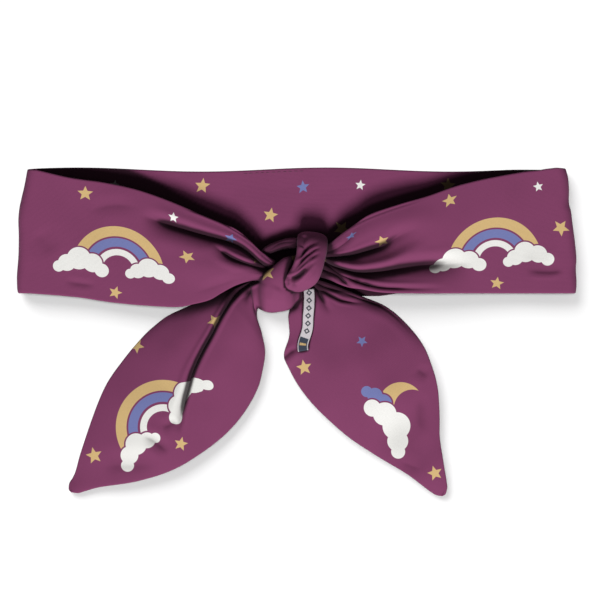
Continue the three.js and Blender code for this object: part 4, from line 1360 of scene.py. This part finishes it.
class Motifs(Formula):
    """Distance fields for the shapes of the print, in millimetres."""

    def placed(self, point, x, y, turn=0.0):
        moved = self.vector("SUBTRACT", point, (x, y, 0))
        if not turn:
            return moved
        node = self.node("ShaderNodeVectorRotate", rotation_type="Z_AXIS")
        self.put(node.inputs["Vector"], moved)
        self.put(node.inputs["Angle"], -math.radians(turn))
        return node.outputs[0]

    def disc(self, point, x, y, radius):
        away = self.vector("LENGTH", self.vector("SUBTRACT", point, (x, y, 0)))
        return self.sum("SUBTRACT", away, radius)

    def arc(self, point, x, y, radius, half, floor):
        """A half ring that stands on a level line."""
        ring = self.sum("SUBTRACT", self.sum("ABSOLUTE", self.disc(point, x, y, radius)), half)
        below = self.sum("SUBTRACT", floor, self.parts(point)[1])
        return self.sum("MAXIMUM", ring, below)

    def cloud(self, point, x, y, size):
        """Five overlapping discs, cut level at the bottom."""
        discs = [
            self.disc(point, x + dx * size, y + dy * size, r * size) for dx, dy, r in CLOUD_DISCS
        ]
        base = self.sum("SUBTRACT", y - CLOUD_FLOOR * size, self.parts(point)[1])
        return self.sum("MAXIMUM", self.least(discs), base)

    def star(self, point, x, y, radius, turn=0.0):
        """A star, folded onto one half of one point, whose side is a straight line."""
        px, py = self.parts(self.placed(point, x, y, turn))
        wedge = math.pi / STAR_POINTS
        angle = self.sum("ARCTAN2", py, px)
        turned = self.sum("ABSOLUTE", self.sum(
            "SUBTRACT", self.sum("FLOORED_MODULO", angle, 2 * wedge), wedge))
        away = self.sum("SQRT", self.sum(
            "ADD", self.sum("MULTIPLY", px, px), self.sum("MULTIPLY", py, py)))
        across = self.sum("MULTIPLY", away, self.sum("COSINE", self.sum("SUBTRACT", wedge, turned)))
        upward = self.sum("MULTIPLY", away, self.sum("SINE", self.sum("SUBTRACT", wedge, turned)))
        inner = radius * STAR_WAIST
        nx, ny = inner * math.sin(wedge), radius - inner * math.cos(wedge)
        size = math.hypot(nx, ny)
        reach = self.sum("ADD", self.sum("MULTIPLY", across, nx / size),
                         self.sum("MULTIPLY", upward, ny / size))
        return self.sum("SUBTRACT", reach, radius * nx / size)

    def moon(self, point, x, y, radius, turn):
        """A disc with a smaller disc bitten out of it."""
        local = self.placed(point, x, y, turn)
        bite = self.disc(local, radius * 0.5, radius * 0.12, radius * 0.82)
        return self.sum("MAXIMUM", self.disc(local, 0, 0, radius),
                        self.sum("MULTIPLY", bite, -1.0))

    def inked(self, distance, softness=0.12):
        """1 inside a shape and 0 outside."""
        return self.sum("MULTIPLY_ADD", distance, -1 / softness, 0.5, clamp=True)


# %% The print as a node group
TILE = (112.0, 94.0)
OUTLINE = 0.7
RAINBOW_AT = (34.0, 14.0)
MOON_AT = (90.0, 72.0)
GOLD_STARS = [(52.0, 48.0, 3.6, 14), (84.0, 34.0, 3.4, 5), (34.0, 3.0, 3.2, 30),
              (3.6, 27.5, 3.8, -16), (11.0, 72.0, 3.4, 20)]
BLUE_STARS = [(98.0, 46.0, 3.0, 25), (56.0, 76.0, 2.6, 40)]
WHITE_STARS = [(12.0, 47.0, 2.4, 12), (28.0, 86.0, 2.4, 33)]
WHITE_ARC, BLUE_ARC, GOLD_ARC, ARC_FLOOR = (8.6, 1.5), (13.3, 2.1), (18.6, 2.4), 1.0


def rainbow(m, p, x, y):
    """Three arcs standing in two clouds, as distances for white, gold and blue."""
    clouds = m.least([m.cloud(p, x - 15.5, y + 0.5, 0.66), m.cloud(p, x + 16.0, y - 0.5, 0.74)])
    clear = m.sum("SUBTRACT", OUTLINE, clouds)

    def behind(distance):
        return m.sum("MAXIMUM", distance, clear)

    white, gold, blue = (
        behind(m.arc(p, x, y, *ring, y - ARC_FLOOR)) for ring in (WHITE_ARC, GOLD_ARC, BLUE_ARC)
    )
    return m.least([clouds, white]), gold, blue


def moon_and_cloud(m, p, x, y):
    """A crescent that rests on a white cloud, with a blue one behind."""
    cloud = m.cloud(p, x + 3.5, y - 7.0, 0.86)
    clear = m.sum("SUBTRACT", OUTLINE, cloud)
    gold = m.sum("MAXIMUM", m.moon(p, x - 1.0, y + 3.5, 10.0, 28), clear)
    under = m.cloud(p, x - 7.5, y - 5.5, 0.56)
    blue = m.sum("MAXIMUM", under, clear)
    return cloud, m.sum("MAXIMUM", gold, m.sum("SUBTRACT", OUTLINE, under)), blue


def print_group():
    """The whole tile, as a colour for a place on the cloth."""
    tree = bpy.data.node_groups.new("sky print", "ShaderNodeTree")
    tree.interface.new_socket("Cloth mm", in_out="INPUT", socket_type="NodeSocketVector")
    tree.interface.new_socket("Colour", in_out="OUTPUT", socket_type="NodeSocketColor")
    m = Motifs(tree)
    x, y = m.parts(m.node("NodeGroupInput").outputs[0])
    join = m.node("ShaderNodeCombineXYZ")
    m.put(join.inputs[0], m.sum("FLOORED_MODULO", x, TILE[0]))
    m.put(join.inputs[1], m.sum("FLOORED_MODULO", y, TILE[1]))
    p = join.outputs[0]
    arcs, moons = rainbow(m, p, *RAINBOW_AT), moon_and_cloud(m, p, *MOON_AT)
    white = m.least([arcs[0], moons[0], *[m.star(p, *star) for star in WHITE_STARS]])
    gold = m.least([arcs[1], moons[1], *[m.star(p, *star) for star in GOLD_STARS]])
    blue = m.least([arcs[2], moons[2], *[m.star(p, *star) for star in BLUE_STARS]])
    colour = m.mix(m.inked(blue), PLUM, PERIWINKLE)
    colour = m.mix(m.inked(gold), colour, GOLD)
    colour = m.mix(m.inked(white), colour, WHITE)
    tree.links.new(colour, m.node("NodeGroupOutput").inputs[0])
    print("the print has", len(tree.nodes), "nodes")
    return tree


SKY_PRINT = print_group()

# %% [markdown]
# ## Jersey
#
# Jersey is knitted: columns of small V-shaped loops, about eighteen to the centimetre. The loops
# are a formula of the UV map that raises the surface a tenth of a millimetre, with a fine fuzz over
# it, and their low parts get a little painted shade. Soft cotton has no gloss but a faint sheen at
# grazing angles. Deep in a fold the colour is painted darker as shade, by how shut in the rays found
# it or by the painted shade that the folds stored on the mesh, whichever is more.

# %% The jersey material
WALE, COURSE, LOOP_SLANT, LOOP_SHARE = 0.56, 0.44, 1.3, 0.35
# How openness and the stored crease shade become painted shade in the colour.
OPEN_ENOUGH, SHUT_IN, DARKEST_PAINTED_SHADE, PAINTED_CREASE_SHARE = 0.9, 0.6, 0.97, 0.75


def start_material(material):
    """A writer for the material's formulas, and its shader."""
    material.use_nodes = True
    tree = material.node_tree
    return Motifs(tree), tree.nodes["Principled BSDF"]


def set_inputs(node, values):
    for name, value in values.items():
        node.inputs[name].default_value = value


def knit_height(m, cloth):
    """The relief of the loops, from their columns and the rows that slant to both sides."""
    x, y = m.parts(cloth)
    wale = m.sum("DIVIDE", y, WALE)
    place = m.sum("ABSOLUTE", m.sum("SUBTRACT", m.sum("FRACT", wale), 0.5))
    course = m.sum("ADD", m.sum("DIVIDE", x, COURSE), m.sum("MULTIPLY", place, LOOP_SLANT))
    loop = m.sum("SINE", m.sum("MULTIPLY", course, 2 * math.pi))
    groove = m.sum("SINE", m.sum("MULTIPLY", place, math.pi))
    return m.sum("MULTIPLY_ADD", loop, LOOP_SHARE, groove)


def yarn_tone_and_knit_shade(m, cloth, knit):
    """How light the yarn is: soft patches and a fine mottle of its own, and painted shade in the low
    parts of the knit.
    """
    tone = m.sum("MULTIPLY_ADD", m.noise(cloth, 0.06, 3.0), 0.12, 0.94)
    tone = m.sum("MULTIPLY", tone, m.sum("MULTIPLY_ADD", m.noise(cloth, 1.6, 4.0), 0.2, 0.9))
    # Painted shade: the low parts of the knit a little darker.
    return m.sum("MULTIPLY", tone, m.sum("MULTIPLY_ADD", knit, 0.07, 0.955))


def painted_shade_depth(m):
    """How dark the painted shade makes the cloth, from what is stored on the mesh."""
    shut = m.node("ShaderNodeMapRange", interpolation_type="SMOOTHSTEP")
    m.put(shut.inputs["Value"], m.node("ShaderNodeAttribute", attribute_name="open").outputs["Fac"])
    set_inputs(shut, {
        "From Min": OPEN_ENOUGH, "From Max": SHUT_IN, "To Min": 0.0, "To Max": DARKEST_PAINTED_SHADE,
    })
    painted_crease_shade = m.node("ShaderNodeAttribute", attribute_name="painted_crease_shade").outputs["Fac"]
    return m.sum("MAXIMUM", shut.outputs[0], m.sum("MULTIPLY", painted_crease_shade, PAINTED_CREASE_SHARE))


def jersey_material():
    material = bpy.data.materials.new("plum jersey")
    m, shader = start_material(material)
    cloth = m.cloth_point()
    dyed = m.node("ShaderNodeGroup")
    dyed.node_tree = SKY_PRINT
    m.put(dyed.inputs[0], cloth)
    knit = knit_height(m, cloth)
    colour = m.toned(dyed.outputs[0], yarn_tone_and_knit_shade(m, cloth, knit))
    # Painted shade: the colour darkened towards the shade colour, mixed in by how shut in the spot is.
    deep = m.mix(0.9, colour, PLUM_PAINTED_SHADE, "MULTIPLY")
    m.put(shader.inputs["Base Color"], m.mix(painted_shade_depth(m), colour, deep))
    fuzz = m.sum("MULTIPLY", m.noise(cloth, 5.0, 5.0), 0.7)
    height = m.sum("ADD", m.sum("MULTIPLY", knit, 0.5), fuzz)
    m.put(shader.inputs["Normal"], m.bump(height, 0.55, 0.12 * MM))
    set_inputs(shader, {
        "Roughness": 0.88, "Specular IOR Level": 0.18, "Sheen Weight": 0.1,
        "Sheen Roughness": 0.45, "Sheen Tint": (0.9, 0.7, 0.85, 1.0),
    })
    return material


JERSEY = jersey_material()
for piece in (band, *ends.values(), wrap, roll):
    piece.data.materials.append(JERSEY)

# %% [markdown]
# ## Woven ribbon
#
# The label is a flat weave with firm edges. Its motif is a plain chain of small diamonds, and its
# folded end has a slate block with a gold bar, both woven in, so they follow the same threads.

# %% The ribbon material
DIAMOND_PITCH, DIAMOND, DIAMOND_HOLE, CHAIN_GAP = 3.4, 1.4, 0.6, 1.2
BLOCK_LENGTH, BLOCK_EDGE = 6.0, 0.45
BAR_AT, BAR_HALF, BAR_EDGE = 3.0, 0.5, 0.9
WARP_PITCH, WEFT_PITCH = 0.28, 0.34


def ribbon_motifs(m, x, y):
    """The chain, the block and the bar, as distances."""
    middle = m.sum("ABSOLUTE", m.sum("SUBTRACT", y, LABEL_WIDTH / 2))
    place = m.sum("FLOORED_MODULO", x, DIAMOND_PITCH)
    step = m.sum("ABSOLUTE", m.sum("SUBTRACT", place, DIAMOND_PITCH / 2))
    diamond = m.sum("SUBTRACT", m.sum("ADD", step, middle), DIAMOND)
    hole = m.sum("SUBTRACT", DIAMOND_HOLE, m.sum("ADD", step, middle))
    chain = m.sum("MAXIMUM", diamond, hole)
    block_start = label_length - BLOCK_LENGTH
    chain = m.sum("MAXIMUM", chain, m.sum("SUBTRACT", x, block_start - CHAIN_GAP))
    block = m.sum("MAXIMUM", m.sum("SUBTRACT", block_start, x),
                  m.sum("SUBTRACT", middle, LABEL_WIDTH / 2 - BLOCK_EDGE))
    away = m.sum("ABSOLUTE", m.sum("SUBTRACT", x, block_start + BAR_AT))
    bar = m.sum("MAXIMUM", m.sum("SUBTRACT", away, BAR_HALF),
                m.sum("SUBTRACT", middle, LABEL_WIDTH / 2 - BAR_EDGE))
    return chain, block, bar


def ribbon_material():
    material = bpy.data.materials.new("woven ribbon")
    m, shader = start_material(material)
    x, y = m.parts(m.cloth_point())
    chain, block, bar = ribbon_motifs(m, x, y)
    colour = m.mix(m.inked(chain, 0.25), RIBBON, RIBBON_GREY)
    colour = m.mix(m.inked(block, 0.2), colour, SLATE)
    colour = m.mix(m.inked(bar, 0.2), colour, GOLD)
    warp = m.sum("SINE", m.sum("MULTIPLY", y, 2 * math.pi / WARP_PITCH))
    weft = m.sum("SINE", m.sum("MULTIPLY", x, 2 * math.pi / WEFT_PITCH))
    weave = m.sum("MULTIPLY", warp, weft)
    # Painted shade: the low parts of the weave are a little darker.
    colour = m.toned(colour, m.sum("MULTIPLY_ADD", weave, 0.08, 0.94))
    m.put(shader.inputs["Base Color"], colour)
    m.put(shader.inputs["Normal"], m.bump(weave, 0.6, 0.08 * MM))
    set_inputs(shader, {"Roughness": 0.7, "Specular IOR Level": 0.3})
    return material


label.data.materials.append(ribbon_material())

# %% [markdown]
# ## Sewing thread
#
# The thread is dyed to match. Its twist is a slanting stripe over the map that each piece of thread
# got from its bead, round it and along it. The stripe raises the thread's surface, and its low parts
# are painted darker, as painted shade between the plies.

# %% The thread's material
PLIES, TWISTS = 2.0, 7.0


def dye_thread(material):
    """Give the thread its colour, its twist, and painted shade in the twist's grooves."""
    m, shader = start_material(material)
    around, along = m.parts(m.node("ShaderNodeAttribute", attribute_name="thread").outputs["Vector"])
    stripe = m.sum("ADD", m.sum("MULTIPLY", around, PLIES), m.sum("MULTIPLY", along, TWISTS))
    twist = m.sum("SINE", m.sum("MULTIPLY", stripe, 2 * math.pi))
    colour = m.mix(m.sum("MULTIPLY_ADD", twist, 0.3, 0.5), THREAD_PAINTED_SHADE, THREAD)
    m.put(shader.inputs["Base Color"], colour)
    m.put(shader.inputs["Normal"], m.bump(twist, 0.5, 0.05 * MM))
    set_inputs(shader, {"Roughness": 0.6, "Specular IOR Level": 0.35})


dye_thread(thread)

# %% [markdown]
# ## Ride on the body, in place of the frame's solids
#
# Nothing here moves by itself, so every piece rides on the one body. Each piece of cloth stands for
# the plain solid of the same part, and the left end for two, because its lobe and its tail are one
# cloth, and those solids are hidden. The band and the two ends are sheets of cloth, and a leaf fills
# about two thirds of its rectangle. The stitches and the label lie on the sheets.

# %% Ride and replace
for piece, nodes in [
    (band, ["band"]), (ends["left"], ["tail_left", "knot_cross"]), (ends["right"], ["tail_right"]),
    (wrap, ["knot_wrap"]), (roll, ["knot_back"]), (label, ["label"]),
]:
    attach(piece, "root")
    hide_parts(*nodes)
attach(stitches, "root")

# %% [markdown]
# ## The picture
#
# The headband lies on a white table and is seen from straight above. A camera high up with a long
# lens keeps it almost free of perspective. One soft light, from the front edge, is linked to the
# cloth and draws its folds. Two others are linked to the table alone: one from the upper left lays
# the faint shadow at the lower right, and one from above keeps the table white. A pale sky fills the
# rest.

# %% Floor and camera
TABLE_GAP = 0.4 * MM
scene = bpy.context.scene
bpy.ops.mesh.primitive_plane_add(size=6.0, location=(0, 0, -TABLE_GAP))
floor = bpy.context.object
floor.name = "floor"
paper = bpy.data.materials.new("white table")
set_inputs(start_material(paper)[1], {"Base Color": (0.9, 0.9, 0.9, 1), "Roughness": 0.9})
floor.data.materials.append(paper)

SENSOR = 36.0
PICTURE_SPAN = 267.0 * MM
PICTURE_MIDDLE = (1.34 * MM, -30.0 * MM)
PICTURE_LEVEL = 6.0 * MM
CAMERA_HEIGHT = 1.6
camera_data = bpy.data.cameras.new("camera")
camera_data.sensor_width = SENSOR
camera_data.lens = SENSOR * CAMERA_HEIGHT / PICTURE_SPAN
camera = bpy.data.objects.new("camera", camera_data)
camera.location = (*PICTURE_MIDDLE, CAMERA_HEIGHT + PICTURE_LEVEL)
scene.collection.objects.link(camera)
scene.camera = camera
print("the picture is", round(PICTURE_SPAN / MM), "mm wide, lens", round(camera_data.lens), "mm")

# %% Sky and lights
SKY = 0.16
world = bpy.data.worlds.new("pale sky")
scene.world = world
world.use_nodes = True
set_inputs(world.node_tree.nodes["Background"], {"Color": (1.0, 1.0, 1.0, 1.0), "Strength": SKY})


def soft_sun(name, azimuth, height, spread, share, lit):
    """A far softbox that gives a level white surface this share of full white."""
    data = bpy.data.lights.new(name, "SUN")
    data.angle = math.radians(spread)
    data.energy = share * math.pi / math.sin(math.radians(height))
    lamp = bpy.data.objects.new(name, data)
    a, h = math.radians(azimuth), math.radians(height)
    towards = Vector((math.cos(a) * math.cos(h), math.sin(a) * math.cos(h), math.sin(h)))
    lamp.rotation_euler = towards.to_track_quat("Z", "Y").to_euler()
    scene.collection.objects.link(lamp)
    group = bpy.data.collections.new(name + " lights")
    for piece in lit:
        group.objects.link(piece)
    lamp.light_linking.receiver_collection = group


soft_sun("front box", -92, 47, 20, 0.79, [*cloth_pieces, stitches])
soft_sun("table box", 125, 40, 40, 0.44, [floor])
soft_sun("table top light", 90, 89, 12, 0.62, [floor])
floor.visible_diffuse = False
scene.view_settings.view_transform = "Standard"
scene.view_settings.look = "None"
